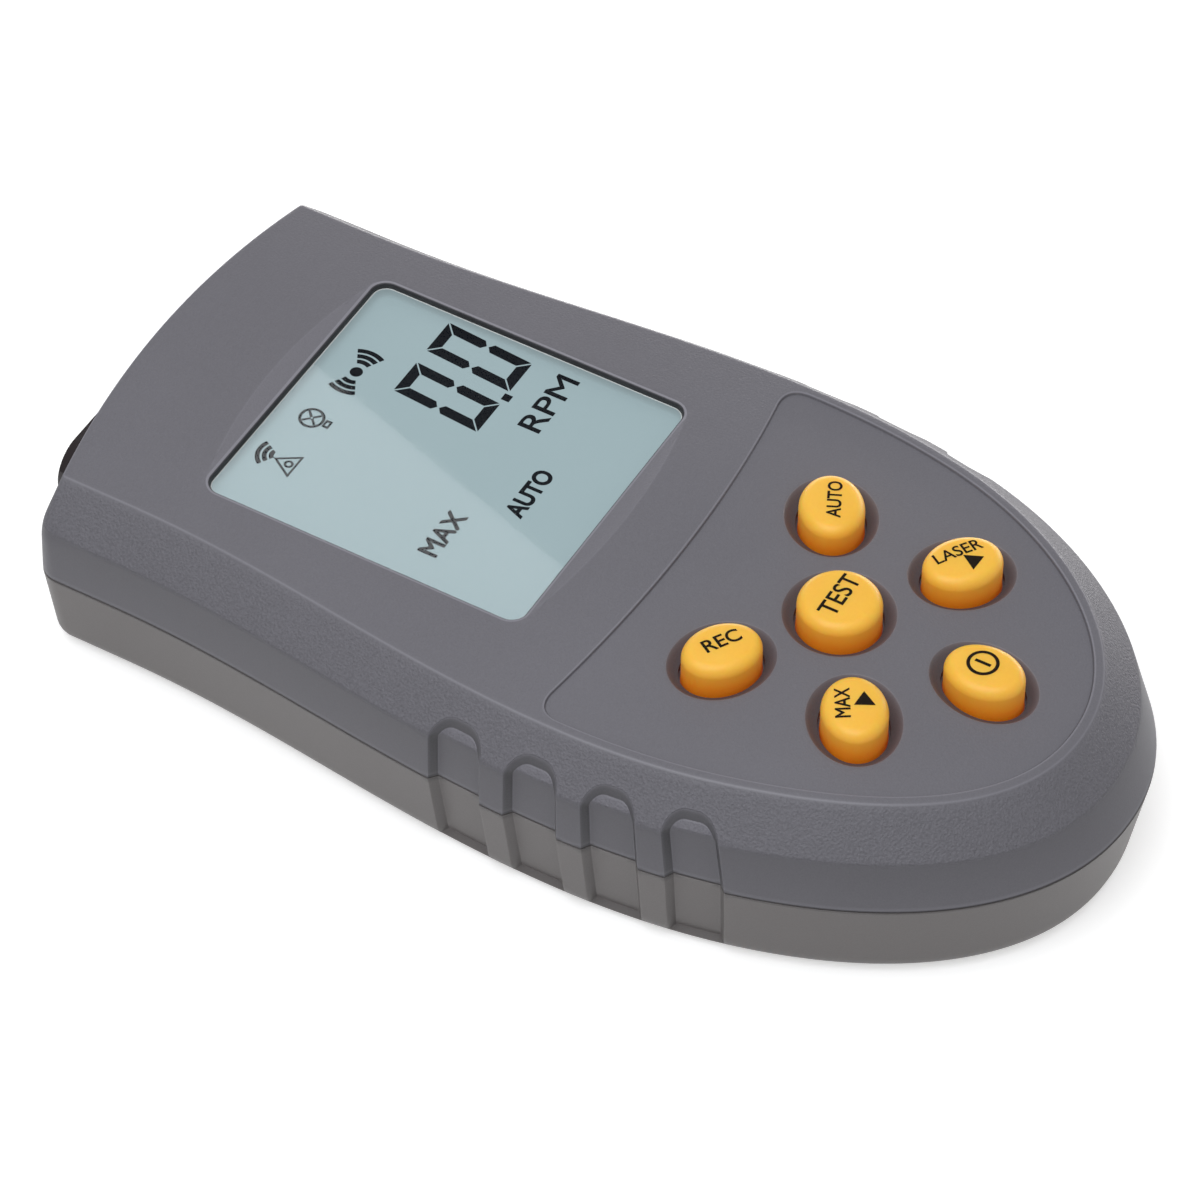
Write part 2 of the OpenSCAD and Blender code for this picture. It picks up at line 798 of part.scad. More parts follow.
module optics_holder() {
    laser_r = laser_d / 2;
    lens_r = lens_d / 2;
    foot = 2;
    low = laser_x - laser_r - tube_wall;
    high = eye_x + lens_r + tube_wall;
    color(trim_black) difference() {
        union() {
            rod(laser_x, optic_z, tube_back + 2, tube_front, laser_r + tube_wall);
            rod(eye_x, optic_z, tube_back + 2, tube_front, lens_r + tube_wall);
            block([low, tube_back + 3, floor_t], [high, tube_front - 4, floor_t + foot]);
            for (x = [laser_x, eye_x]) {
                block([x - 1.5, tube_back + 3, floor_t], [x + 1.5, tube_front - 4, optic_z]);
            }
            block([laser_x, tube_front - 6, floor_t], [eye_x, tube_front - 4, optic_z + 2]);
        }
        rod(laser_x, optic_z, tube_back, tube_front + 1, laser_r + 0.03);
        rod(eye_x, optic_z, eye_seat, tube_front + 1, lens_r + 0.05);
        rod(eye_x, optic_z, tube_back, tube_front, eye_r + 0.15);
        rod(eye_x, optic_z, tube_back + 8, tube_front, lens_r - 0.9);
    }
}

module laser_module() {
    color(brass) difference() {
        union() {
            rod(laser_x, optic_z, tube_back, laser_front, laser_d / 2);
            rod(laser_x, optic_z, tube_back - 1, tube_back + eps, laser_d / 2 - 0.6);
        }
        rod(laser_x, optic_z, laser_front - 2, laser_front + 1, laser_d / 2 - 1);
        rod(laser_x, optic_z, tube_back + 6, laser_front, 1.2);
    }
}

// A plano-convex lens, flat at y, bulging towards the measuring end
module convex_lens(x, y, r, rim, bulge) {
    ball = (r * r + bulge * bulge) / (2 * bulge);
    translate([x, y, optic_z]) rotate([-90, 0, 0])
        rotate_extrude()
            intersection() {
                translate([0, rim + bulge - ball]) circle(ball);
                square([r, rim + bulge]);
            }
}

module laser_lens() {
    color(clear_lens) convex_lens(laser_x, laser_front - 2, laser_d / 2 - 1.03, 0.8, 0.6);
}

module receiver_lens() {
    color(clear_lens) convex_lens(eye_x, eye_seat, lens_d / 2, 1.4, 1.1);
}

module laser_leads() {
    color(steel)
        for (s = [-1, 1]) {
            wire([
                [laser_x + s * 1.2, tube_back - 1, optic_z],
                [laser_x + s * 1.2, tube_back - 2, optic_z],
                [laser_x + s * 1.2, tube_back - 3, optic_z + 1],
                [laser_x + s * 1.2, tube_back - 3, board_low]
            ], lead_d * 0.6);
        }
}

module photodiode() {
    color(trim_black) union() {
        rod(eye_x, optic_z, tube_back + 2 - eps, tube_back + 6, eye_r);
        translate([eye_x, tube_back + 6, optic_z]) sphere(eye_r);
        rod(eye_x, optic_z, tube_back + 1, tube_back + 2, eye_r + 0.5);
        for (s = [-1, 1]) {
            rod(eye_x + s * 1.27, optic_z, tube_back - 1.5, tube_back + 1 + eps, 0.3);
            translate([eye_x + s * 1.27, tube_back - 1.5, optic_z - 0.3])
                cylinder(h = board_low - optic_z + 0.3, r = 0.3);
        }
    }
}

// Studs of the battery
stud_x = 6.35;
stud_z = battery_z + battery_t / 2;
battery_head = battery_y + battery_l;
stud_h = 2.6;

module battery() {
    color([0.2, 0.2, 0.22]) union() {
        translate([0, battery_y, stud_z]) rotate([-90, 0, 0]) plate(battery_w, battery_t, battery_l, 2);
        rod(-stud_x, stud_z, battery_head - eps, battery_head + stud_h, 2.9);
        rod(stud_x, stud_z, battery_head - eps, battery_head + stud_h, 4.2);
    }
}

clip_w = battery_w - 1.2;
clip_d = battery_t - 4.7;
clip_h = stud_h + 1.6;

module battery_snap() {
    color(trim_black) difference() {
        translate([0, battery_head, stud_z]) rotate([-90, 0, 0]) plate(clip_w, clip_d, clip_h, 4);
        rod(-stud_x, stud_z, battery_head - 1, battery_head + stud_h + 0.1, 3);
        rod(stud_x, stud_z, battery_head - 1, battery_head + stud_h + 0.1, 4.3);
    }
}

module clip_lead(x) {
    y = battery_head + clip_h;
    wire([
        [x, y, stud_z + 2],
        [x, y + 0.7, stud_z + 2],
        [x, y + 1.5, stud_z + 2.8],
        [x, y + 1.5, board_low]
    ], lead_d);
}

module lead_red() {
    color([0.75, 0.1, 0.1]) clip_lead(3);
}

module lead_black() {
    color(trim_black) clip_lead(-3);
}

// Parts on the underside of the board
chip_w = 14;
chip_t = 1.6;
can_l = 11;
can_w = 4.6;
can_h = 3.5;
chip_pitch = 4;

module driver_chip() {
    color(trim_black)
        translate([0, window_y, board_low - chip_t]) plate(chip_w, chip_w, chip_t, 0.4);
}

module crystal() {
    color(steel)
        translate([chip_w, window_y - chip_w, board_low - can_h]) plate(can_l, can_w, can_h, 2.2);
}

module small_parts() {
    color([0.75, 0.7, 0.6])
        for (i = [0 : 4], s = [-1, 1]) {
            translate([s * (chip_w - 2), window_y + (i - 1.25) * chip_pitch, board_low - 0.8])
                plate(2, 1.25, 0.8, 0.1);
        }
}

// A screw that points up, with a cross recess in its head
module screw(seat, tip, d, head_d, head_h) {
    difference() {
        union() {
            translate([0, 0, seat]) cylinder(h = tip - seat, d = d);
            translate([0, 0, seat - head_h]) cylinder(h = head_h, d = head_d);
        }
        for (turn = [0, 90]) {
            rotate([0, 0, turn])
                translate([0, 0, seat - head_h]) cube([head_d * 0.6, head_d * 0.14, head_h], center = true);
        }
    }
}

module case_screws() {
    color(steel)
        for (p = tower_at) {
            translate(p) screw(screw_seat, board_low - 2, screw_d, screw_head_d, 1.8);
        }
}

module board_screws() {
    color(steel)
        for (p = post_at) {
            translate(p) screw(board_low, board_top + 2.2, pin_d, pin_head_d, 1.1);
        }
}

upper_case();
lower_case();
battery_door();
display_window();
lcd_panel();
lcd_frame();
zebra_strips();
main_board();
keypad_mat();
key_cap(0);  // key_test
key_cap(1);  // key_rec
key_cap(2);  // key_auto
key_cap(3);  // key_max
key_cap(4);  // key_laser
key_cap(5);  // key_power
front_window();
optics_holder();
laser_module();
laser_lens();
laser_leads();
receiver_lens();
photodiode();
battery();
battery_snap();
lead_red();
lead_black();
driver_chip();
crystal();
small_parts();
case_screws();
board_screws();
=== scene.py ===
# %% [markdown]
# # A hand-held laser tachometer
#
# The real instrument is two grey injection-moulded case halves that close on a parting line,
# a clear window over a reflective display, six soft orange keys that stand in dished holes, and a
# smoked plate at the end that looks at the turning shaft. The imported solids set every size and
# every motion. This lesson dresses them: it draws the visible skins finely, then the finishes,
# the display, the printed legends, the light and the camera.

import math

import bpy
import numpy as np
from mathutils import Matrix, Vector
from mathutils.geometry import delaunay_2d_cdt


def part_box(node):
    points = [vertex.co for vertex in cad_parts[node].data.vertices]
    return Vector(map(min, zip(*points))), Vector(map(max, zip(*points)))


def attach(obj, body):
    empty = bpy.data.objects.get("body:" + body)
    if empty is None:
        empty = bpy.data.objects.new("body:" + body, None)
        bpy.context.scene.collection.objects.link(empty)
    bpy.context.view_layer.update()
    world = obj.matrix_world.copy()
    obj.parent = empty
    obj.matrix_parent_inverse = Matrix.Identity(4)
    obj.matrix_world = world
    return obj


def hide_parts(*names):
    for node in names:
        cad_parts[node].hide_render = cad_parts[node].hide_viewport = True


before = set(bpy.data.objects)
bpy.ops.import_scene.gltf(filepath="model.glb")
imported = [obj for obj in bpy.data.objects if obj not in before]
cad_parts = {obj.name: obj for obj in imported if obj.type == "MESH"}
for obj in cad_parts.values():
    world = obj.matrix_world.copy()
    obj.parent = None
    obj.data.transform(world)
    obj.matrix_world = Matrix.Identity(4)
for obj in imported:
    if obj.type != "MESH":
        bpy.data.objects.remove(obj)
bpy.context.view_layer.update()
MM = 0.001

# %% [markdown]
# ## The plan outline
#
# Seen from above, the case is a blunt tail, two flowing sides that narrow to a waist, and a
# slightly bowed measuring end with small corners. A mould maker would draw it as a few blended
# curves. A traced spline would do too, but a formula is easier to inset for each level of the case:
# the walls lean in by different amounts at the sides, the tail and the measuring end, whose corners
# get sharper towards the face. A station runs from 0 at the tail tip to 5 at the middle of the
# measuring end, and negative stations are the left side.

# %% Outline formula
CASE_L, CASE_W, WAIST_W, CASE_H = 132.4, 71.8, 62.8, 27.4
WIDEST_Y, WAIST_Y = -6.4, 53.2
TAIL_POWER, END_BOW, CORNER_R, CORNER_MIN = 2.1, 2.7, 3.2, 0.3
CROWN_R, FALL_R, FALL_Y = 300.0, 148.0, -27.3


def outline(station, inset=(0.0, 0.0, 0.0)):
    """Plan points (mm) at these stations, moved in at the sides, the tail and the end."""
    side, tail, end = inset
    h = np.abs(station)
    wide, waist = CASE_W / 2 - side, WAIST_W / 2 - side
    tip, nose = WIDEST_Y + CASE_L / 2 - tail, CASE_L / 2 - end
    r = max(CORNER_MIN, CORNER_R - 2 * end)
    tilt = math.atan(2 * END_BOW * (waist - r) / waist**2)
    end_x = waist - r + r * math.sin(tilt)
    corner_y = nose - END_BOW * (end_x / waist) ** 2 - r * math.cos(tilt)
    turn = np.clip(h, 0, 1) * math.pi / 2
    blend = np.clip(h - 1, 0, 1)
    bend = np.clip(h - 3, 0, 1) * (math.pi / 2 - tilt)
    bow_x = end_x * (1 - np.clip(h - 4, 0, 1))
    legs = [h <= 1, h <= 2, h <= 3, h <= 4]
    x = np.select(
        legs,
        [
            wide * np.abs(np.sin(turn)) ** (2 / TAIL_POWER),
            waist + (wide - waist) * (1 + np.cos(math.pi * blend)) / 2,
            np.full_like(h, waist),
            waist - r + r * np.cos(bend),
        ],
        bow_x,
    )
    y = np.select(
        legs,
        [
            WIDEST_Y - tip * np.abs(np.cos(turn)) ** (2 / TAIL_POWER),
            WIDEST_Y + (WAIST_Y - WIDEST_Y) * blend,
            WAIST_Y + (corner_y - WAIST_Y) * np.clip(h - 2, 0, 1),
            corner_y + r * np.sin(bend),
        ],
        nose - END_BOW * (bow_x / waist) ** 2,
    )
    return np.stack([np.sign(station) * x, y], axis=-1)


def crown(x, y):
    """Height of the crowned face before anything is cut into it."""
    return CASE_H - x**2 / (2 * CROWN_R) - np.maximum(0, FALL_Y - y) ** 2 / (2 * FALL_R)


# %% Distances round the case, so that the walls can be measured like a strip of paper
STATIONS = np.linspace(0, 5, 20001)
WALK = outline(STATIONS)
LENGTHS = np.concatenate([[0], np.cumsum(np.hypot(*np.diff(WALK, axis=0).T))])
HALF_GIRTH = LENGTHS[-1]


def station_at(s):
    """Station at a signed distance from the tail tip."""
    return np.sign(s) * np.interp(np.abs(s), LENGTHS, STATIONS)


def girth_to(axis, value):
    """Distance from the tail tip to where the right side first passes a plan coordinate."""
    if axis == "y":
        return float(np.interp(value, WALK[:, 1], LENGTHS))
    past = STATIONS >= 4
    return float(np.interp(-value, -WALK[past, 0], LENGTHS[past]))


def outward(s):
    """Level unit vectors that point out of the wall."""
    step = 0.05
    a = np.clip(np.abs(s) - step, 0, HALF_GIRTH)
    b = np.clip(np.abs(s) + step, 0, HALF_GIRTH)
    run = outline(station_at(b)) - outline(station_at(a))
    run /= np.linalg.norm(run, axis=-1, keepdims=True)
    return np.stack([np.where(s < 0, -1, 1) * run[:, 1], -run[:, 0]], axis=-1)


print("girth mm:", round(2 * HALF_GIRTH, 1))

# %% [markdown]
# ## Tools for fine skins
#
# Each visible skin is drawn flat first, as a set of points with the lines that must stay crisp, and
# then bent onto its surface. A constrained triangulation fills the flat drawing, so edges, hollows
# and dishes get closely spaced loops while plain areas stay light. Each point carries how far it
# is sunk, how strongly the mould was etched there, and its painted light and shade: painted
# highlights on edges are positive and painted shade in corners, recesses and seams is negative.


# %% Flat drawings
class Drawing:
    """Flat points with a sunk depth, an etch strength and a painted light and shade value, and the
    lines between them.
    """

    def __init__(self):
        self.points, self.sunk, self.marks, self.lines = [], [], [], []

    # The third value of a point is painted light: a painted highlight above 0, painted shade below
    # 0
    def add(self, points, sunk=0.0, etch=0.0, painted_shading=0.0, line=True, closed=False):
        start = len(self.points)
        points = np.asarray(points, float)
        n = len(points)
        self.points += points.tolist()
        self.sunk += np.broadcast_to(sunk, n).tolist()
        self.marks += np.column_stack([np.broadcast_to(etch, n), np.broadcast_to(painted_shading, n)]).tolist()
        if line:
            self.lines += [(start + i, start + i + 1) for i in range(n - 1)]
            if closed:
                self.lines.append((start + n - 1, start))

    def fill(self, keep):
        """Triangles over the drawing, those whose middles pass keep."""
        flat = [Vector(p) for p in self.points]
        made = delaunay_2d_cdt(flat, self.lines, [], 0, 1e-6)
        xy = np.array([tuple(v) for v in made[0]])
        source = [o[0] if o else -1 for o in made[3]]
        sunk = np.array([self.sunk[i] if i >= 0 else 0.0 for i in source])
        marks = np.array([self.marks[i] if i >= 0 else (0.0, 0.0) for i in source])
        tri = np.array([f for f in made[2] if len(f) == 3])
        mid = xy[tri].mean(axis=1)
        return xy, sunk, marks, tri[keep(mid)]


# %% Which points lie where
def inside(points, loop):
    """Which points lie inside a closed loop."""
    x, y = points[:, 0], points[:, 1]
    hit = np.zeros(len(points), bool)
    for (x0, y0), (x1, y1) in zip(loop, np.roll(loop, -1, axis=0)):
        if y0 != y1:
            hit ^= ((y0 > y) != (y1 > y)) & (x < (x1 - x0) * (y - y0) / (y1 - y0) + x0)
    return hit


def far_from(points, others, gap):
    """Which points keep a distance from all the others."""
    result = np.ones(len(points), bool)
    for start in range(0, len(points), 400):
        part = points[start : start + 400]
        d = ((part[:, None, :] - others[None]) ** 2).sum(-1).min(axis=1)
        result[start : start + 400] = d > gap * gap
    return result


# %% [markdown]
# Patches that meet share their edge points. They could be joined with a modifier, but welding them
# while the mesh is made keeps the stored etch and painted light and shade in step with the points.


# %% Skins from welded patches
WELDS_PER_MM = 2000


class Skin:
    """Vertices (mm), faces, etch strengths and painted light and shade gathered from several
    patches.
    """

    def __init__(self):
        self.co, self.face, self.marks = [], [], []

    def add(self, co, faces, marks=(0.0, 0.0)):
        start = len(self.co)
        self.co += np.asarray(co, float).tolist()
        self.face += [[start + int(i) for i in f] for f in faces]
        self.marks += np.broadcast_to(marks, (len(co), 2)).tolist()

    def strip(self, rows, marks=(0.0, 0.0), closed=False, flip=False):
        """Quads between neighbouring rows of points."""
        n = len(rows[0])
        faces = []
        for r in range(len(rows) - 1):
            for i in range(n if closed else n - 1):
                a, b = r * n + i, r * n + (i + 1) % n
                quad = [a, b, b + n, a + n]
                faces.append(quad[::-1] if flip else quad)
        self.add(np.concatenate(rows), faces, marks)

    def box(self, low, high):
        """A plain block."""
        corners = [[(low, high)[i >> k & 1][k] for k in range(3)] for i in range(8)]
        sides = [(0, 2, 3, 1), (4, 5, 7, 6), (0, 1, 5, 4), (2, 6, 7, 3), (0, 4, 6, 2), (1, 3, 7, 5)]
        self.add(corners, sides)

    def build(self, name, sharp_deg=40):
        """A smooth-shaded object in metres, its patches welded together."""
        mesh = bpy.data.meshes.new(name)
        co = np.array(self.co)
        keys, order = {}, []
        weld = np.empty(len(co), int)
        for i, key in enumerate(map(tuple, np.round(co * WELDS_PER_MM).astype(int))):
            if key not in keys:
                keys[key] = len(order)
                order.append(i)
            weld[i] = keys[key]
        faces = []
        for f in self.face:
            ring = [weld[i] for i in f]
            ring = [v for k, v in enumerate(ring) if v != ring[k - 1]]
            if len(set(ring)) == len(ring) > 2:
                faces.append(ring)
        mesh.from_pydata((co[order] * MM).tolist(), [], faces)
        mesh.validate()
        # The second stored value is painted light and shade: painted highlights and painted shade
        for column, mark in enumerate(("etch", "painted_shading")):
            values = np.array(self.marks)[order, column].astype(np.float32)
            mesh.attributes.new(mark, "FLOAT", "POINT").data.foreach_set("value", values)
        mesh.polygons.foreach_set("use_smooth", np.ones(len(mesh.polygons), bool))
        mesh.set_sharp_from_angle(angle=math.radians(sharp_deg))
        made = bpy.data.objects.new(name, mesh)
        bpy.context.scene.collection.objects.link(made)
        print(name, "triangles:", sum(len(p.vertices) - 2 for p in mesh.polygons))
        return made


# %% [markdown]
# ## The upper wall, bevel and grip hollows
#
# From the parting line the wall rises a little inward to a soft shoulder, then a grained bevel
# leans in to the crisp edge of the face. Four hollows for the fingers are let into each side; they
# cross the parting line, slope in at the top and run out at the back edge. A box with loop cuts
# could be pulled into this shape. Drawn as a strip, distance along the case by height, every row
# and hollow is placed by its measure, and a formula bends the strip round the outline.

# %% Levels of the upper half
SEAM_UP, SEAM_LOW, BEVEL_H = 13.35, 13.05, 5.3
SHOULDER, CREASE = (0.2, 2.4, 0.5), (5.0, 7.0, 1.4)
WALL_T, BEVEL_T = 7.25, 7.15
SHOULDER_T, CREASE_T = WALL_T, WALL_T + BEVEL_T
FACE_T = CREASE_T + 0.5
SOFT_SHOULDER, SOFT_CORNER, SOFT_CREASE = 0.4, 1.5, 0.25
CORNER_S, CORNER_RUN = girth_to("y", 57.0), 4.0


def part_way(a, b, share):
    """Points between two rows, at these shares of the way."""
    return a + (b - a) * share[:, None]


def upper_wall(s, t, sunk):
    """Points of the upper half at a distance round it and up it."""
    station = station_at(s)
    foot = np.column_stack([outline(station), np.full(len(s), SEAM_UP)])
    edge = outline(station, CREASE)
    crease = np.column_stack([edge, crown(*edge.T)])
    shoulder = np.column_stack([outline(station, SHOULDER), crease[:, 2] - BEVEL_H])
    inner = outline(station, tuple(v + 1 for v in CREASE))
    face = np.column_stack([inner, crown(*inner.T)])

    def straight(t):
        low = part_way(foot, shoulder, np.clip(t / WALL_T, 0, 1))
        middle = part_way(shoulder, crease, np.clip((t - SHOULDER_T) / BEVEL_T, 0, 1))
        top = part_way(crease, face, np.clip(t - CREASE_T, 0, 1))
        pick = (t <= SHOULDER_T)[:, None], (t <= CREASE_T)[:, None]
        return np.where(pick[0], low, np.where(pick[1], middle, top))

    place = straight(t)
    rounder = SOFT_SHOULDER + SOFT_CORNER * np.clip((np.abs(s) - CORNER_S) / CORNER_RUN, 0, 1)
    crisp = np.full_like(t, SOFT_CREASE)
    for corner, at, soft in ((shoulder, SHOULDER_T, rounder), (crease, CREASE_T, crisp)):
        w = np.clip((t - at + soft) / (2 * soft), 0, 1)[:, None]
        start, stop = straight(at - soft), straight(at + soft)
        curve = (1 - w) ** 2 * start + 2 * w * (1 - w) * corner + w**2 * stop
        place = np.where((np.abs(t - at) < soft)[:, None], curve, place)
    place[:, :2] -= outward(s) * np.asarray(sunk)[:, None]
    return place


print("wall and bevel, up the strip mm:", WALL_T, BEVEL_T)

# %% [markdown]
# A hollow is a stack of arched loops, from just outside its rim to its floor. A cut with a rounded
# bar would give the same form. Loops give the rim and the floor's edge their small roundings too,
# and each holds its own painted light: a painted highlight on the rim, painted shade down the
# slope.

# %% One grip hollow, as loops from its rim to its floor
GRIP_W, GRIP_DEEP, GRIP_PITCH, GRIP_Y = 7.2, 1.1, 10.3, -12.3
GRIP_HIGH, GRIP_LOW, GRIP_SHOULDER = 23.1, 0.5, 20.6
GRIP_S = [girth_to("y", GRIP_Y + (i - 1.5) * GRIP_PITCH) for i in range(4)]
# Share of the way from the rim of a hollow to its floor, share of its depth there, and painted
# light (highlight above 0, shade below 0)
GRIP_LOOPS = [(-0.3, 0, 0), (-0.07, 0, 0.1), (0.03, 0.012, 0.2), (0.11, 0.09, -0.4)]
GRIP_LOOPS += [(0.35, 0.34, -0.7), (0.65, 0.65, -0.7), (0.89, 0.9, -0.8), (0.97, 0.985, 0.3)]
GRIP_LOOPS += [(1.07, 1, 0.1), (1.3, 1, 0)]


def arch(share, end_z, seam_z, rim_r=3.0, floor_r=1.9, end_run=1.55, side_run=0.8):
    """One loop of a hollow: up one side from the seam, round its end and down the other."""
    half = GRIP_W / 2 - side_run * share
    sense = 1 if end_z > seam_z else -1
    top = end_z - sense * end_run * share
    r = rim_r + (floor_r - rim_r) * share
    r = min(r, half - 0.1)
    rise = np.linspace(0, sense * (top - sense * r - seam_z), 15)
    foot = [(half, seam_z + sense * h) for h in rise]
    a = np.linspace(0, math.pi / 2, 10)[1:]
    bend = [(half - r + r * math.cos(v), top - sense * r + sense * r * math.sin(v)) for v in a]
    right = foot + bend
    flat = [(x, top) for x in np.linspace(half - r, -(half - r), 5)[1:-1]]
    left = [(-x, z) for x, z in right[::-1]]
    return np.array(right + flat + left)


print("grip hollows:", 2 * len(GRIP_S), "loops each:", len(GRIP_LOOPS))


# %% [markdown]
# What is known in space, such as the smoked plate's corners, has to be found on the strip. The bend
# has no simple inverse, so a few small corrections walk each place to where it lands right.


# %% From positions in space to places on the strip
def up_of(z):
    """Strip height of a level of the upper half, near enough for the hollows."""
    z = np.asarray(z, float)
    return np.where(
        z <= GRIP_SHOULDER,
        (z - SEAM_UP) / (GRIP_SHOULDER - SEAM_UP) * WALL_T,
        WALL_T + (z - GRIP_SHOULDER) / BEVEL_H * BEVEL_T,
    )


def strip_places(bend, wanted):
    """Strip places that bend to these sideways and upright positions on the measuring end."""
    wanted = np.asarray(wanted, float)
    guess = [np.copysign(girth_to("x", abs(x)), x) for x in wanted[:, 0]]
    foot_z = bend(np.array([HALF_GIRTH]), np.zeros(1), np.zeros(1))[0, 2]
    place = np.column_stack([guess, wanted[:, 1] - foot_z])
    step, damp, still = 0.01, 0.8, np.zeros(len(wanted))
    for _ in range(20):
        here = bend(*place.T, still)[:, [0, 2]]
        along = (bend(place[:, 0] + step, place[:, 1], still)[:, [0, 2]] - here) / step
        up = (bend(place[:, 0], place[:, 1] + step, still)[:, [0, 2]] - here) / step
        move = np.linalg.solve(np.stack([along, up], -1), (wanted - here)[..., None])
        place += move[..., 0] * damp
    return place


# %% Columns of the strip
HOLLOW_CLEAR = 0.75


def strip_columns():
    """Distances round the case, closer together where it turns sharply."""
    end_s, corner_s = girth_to("x", 28.0), girth_to("y", 59.5)
    half = [np.arange(0, 60, 0.8), np.arange(60, corner_s - 1, 1.6)]
    half += [np.linspace(corner_s - 0.8, end_s + 0.8, 26), np.linspace(end_s + 1.6, HALF_GIRTH, 16)]
    half = np.concatenate(half)
    return np.concatenate([-half[:0:-1], half])


def hollow_zone(s, z):
    """Which strip points lie in or near a hollow."""
    near = np.min([np.abs(np.abs(s) - c) for c in GRIP_S], axis=0)
    level = (z < GRIP_HIGH + HOLLOW_CLEAR) & (z > GRIP_LOW - HOLLOW_CLEAR)
    return (near < GRIP_W / 2 + HOLLOW_CLEAR) & level


COLUMNS = strip_columns()
print("columns round the case:", len(COLUMNS))

# %% [markdown]
# The measuring end is open for the smoked plate, and the opening crosses the parting line, so each
# half carries one bay of it. A boolean cut would leave ragged slivers in the bent strip. Here the
# opening's path is found on the flat strip instead, and what lies beyond it is left out.

# %% The opening of the measuring end
FILTER_X, FILTER_W, FILTER_LOW, FILTER_HIGH, FILTER_R = -3.5, 41.3, 5.85, 25.45, 4.15
FILTER_BACK = CASE_L / 2 - 3.7
BELOW_STRIP, ABOVE_STRIP = -1, 20


def filter_turn(side, start_z, end_z):
    """Sideways and upright path round a corner of the end opening, from the seam to the middle."""
    edge = FILTER_X + side * FILTER_W / 2
    sense = 1 if end_z > start_z else -1
    turn = np.linspace(0, math.pi / 2, 9)
    path = [(edge, z) for z in np.linspace(start_z, end_z - sense * FILTER_R, 6)[:-1]]
    for a in turn:
        x = edge - side * FILTER_R * (1 - math.cos(a))
        path.append((x, end_z - sense * FILTER_R * (1 - math.sin(a))))
    path += [(x, end_z) for x in np.linspace(path[-1][0], 0, 9)[1:-1]]
    return np.array(path)


def mouth_of(bend, side, start_z, end_z):
    """The same path as strip places, closed on the middle of the end."""
    place = strip_places(bend, filter_turn(side, start_z, end_z))
    return np.vstack([place, [side * HALF_GIRTH, place[-1, 1]]])


def in_mouth(mid, mouth, beyond):
    """Which strip middles lie in the end opening, past a path that starts on the seam."""
    past = math.copysign(HALF_GIRTH + 1, mouth[0, 0])
    corners = [(past, mouth[-1, 1]), (past, beyond), (mouth[0, 0], beyond)]
    return inside(mid, np.vstack([mouth, corners]))


def clear_of(mouths, beyond):
    """A test that keeps the strip middles outside both corners of the end opening."""
    return lambda mid: ~in_mouth(mid, mouths[0], beyond) & ~in_mouth(mid, mouths[1], beyond)


print("end opening mm:", FILTER_W, "x", round(FILTER_HIGH - FILTER_LOW, 2))

# %% [markdown]
# The mould was etched on the bevel and, more finely, on the face. A painted highlight runs along
# the crease, the plain wall below the shoulder gets painted shade, and the parting line gets
# painted shade with a painted highlight just above it. Painting this by hand would not survive a
# change of size, so it is worked out from the height of each point.


# %% Etch, and painted light and shade up the wall
# The third value is painted light on the floors of the hollows above the shoulder
FACE_ETCH, PANEL_ETCH, FLOOR_PAINTED_LIGHT = 0.3, 0.22, 0.3
SEAM_ROWS = [0.0, 0.12, 0.2, 0.45, 0.7]


def etched(t):
    """Strength of the mould's etch up the wall: strong on the bevel only."""
    rise = np.clip((t - SHOULDER_T + 0.1) / 0.3, 0, 1)
    fall = np.clip((CREASE_T - 0.1 - t) / 0.35, 0, 1)
    return rise * fall + FACE_ETCH * np.clip((t - CREASE_T) / 0.4, 0, 1)


def painted_wall_shading(t):
    """Painted light up the wall: a painted highlight on the edge of the face, painted shade on the
    wall under the shoulder, painted shade in the seam with a painted highlight just above.
    """
    # A painted highlight along the crease
    edge = 0.6 * np.clip(1 - np.abs(t - CREASE_T) / 0.2, 0, 1)
    # Painted shade on the wall under the shoulder
    levels = [0, SHOULDER_T - 0.2, SHOULDER_T + 0.2, CREASE_T - 0.5, CREASE_T]
    dull = np.interp(t, levels, [-0.2, -0.45, -0.15, -0.05, 0])
    # Painted shade in the seam, with a painted highlight just above it
    return edge + dull + np.interp(t, SEAM_ROWS, [-0.9, -0.6, 0.35, 0.3, 0])


# %% Draw the plain rows of the upper wall
wall = Drawing()
rows = SEAM_ROWS + [1.2, 2.2, 3.6, 5.0, 5.6, 6.1]
rows += [SHOULDER_T + d for d in (-0.7, -0.4, -0.27, -0.13, 0, 0.13, 0.27, 0.4, 0.7, 1.1, 1.6, 2.2)]
rows += [SHOULDER_T + d for d in (3.2, 4.4, 5.4, 6.2)]
rows += [CREASE_T + d for d in (-0.25, -0.17, -0.08, 0, 0.08, 0.17, 0.25)]
for t in rows:
    z = SEAM_UP + t * (GRIP_SHOULDER - SEAM_UP) / WALL_T
    z = z if t < WALL_T else GRIP_SHOULDER + (t - WALL_T) * BEVEL_H / BEVEL_T
    keep = ~hollow_zone(COLUMNS, z)
    line = np.column_stack([COLUMNS[keep], np.full(keep.sum(), t)])
    wall.add(line, etch=etched(line[:, 1]), painted_shading=painted_wall_shading(line[:, 1]), line=False)
wall.add(np.column_stack([COLUMNS, np.full(len(COLUMNS), FACE_T)]), etch=FACE_ETCH)
print("rows:", len(rows) + 1, "points:", len(wall.points))

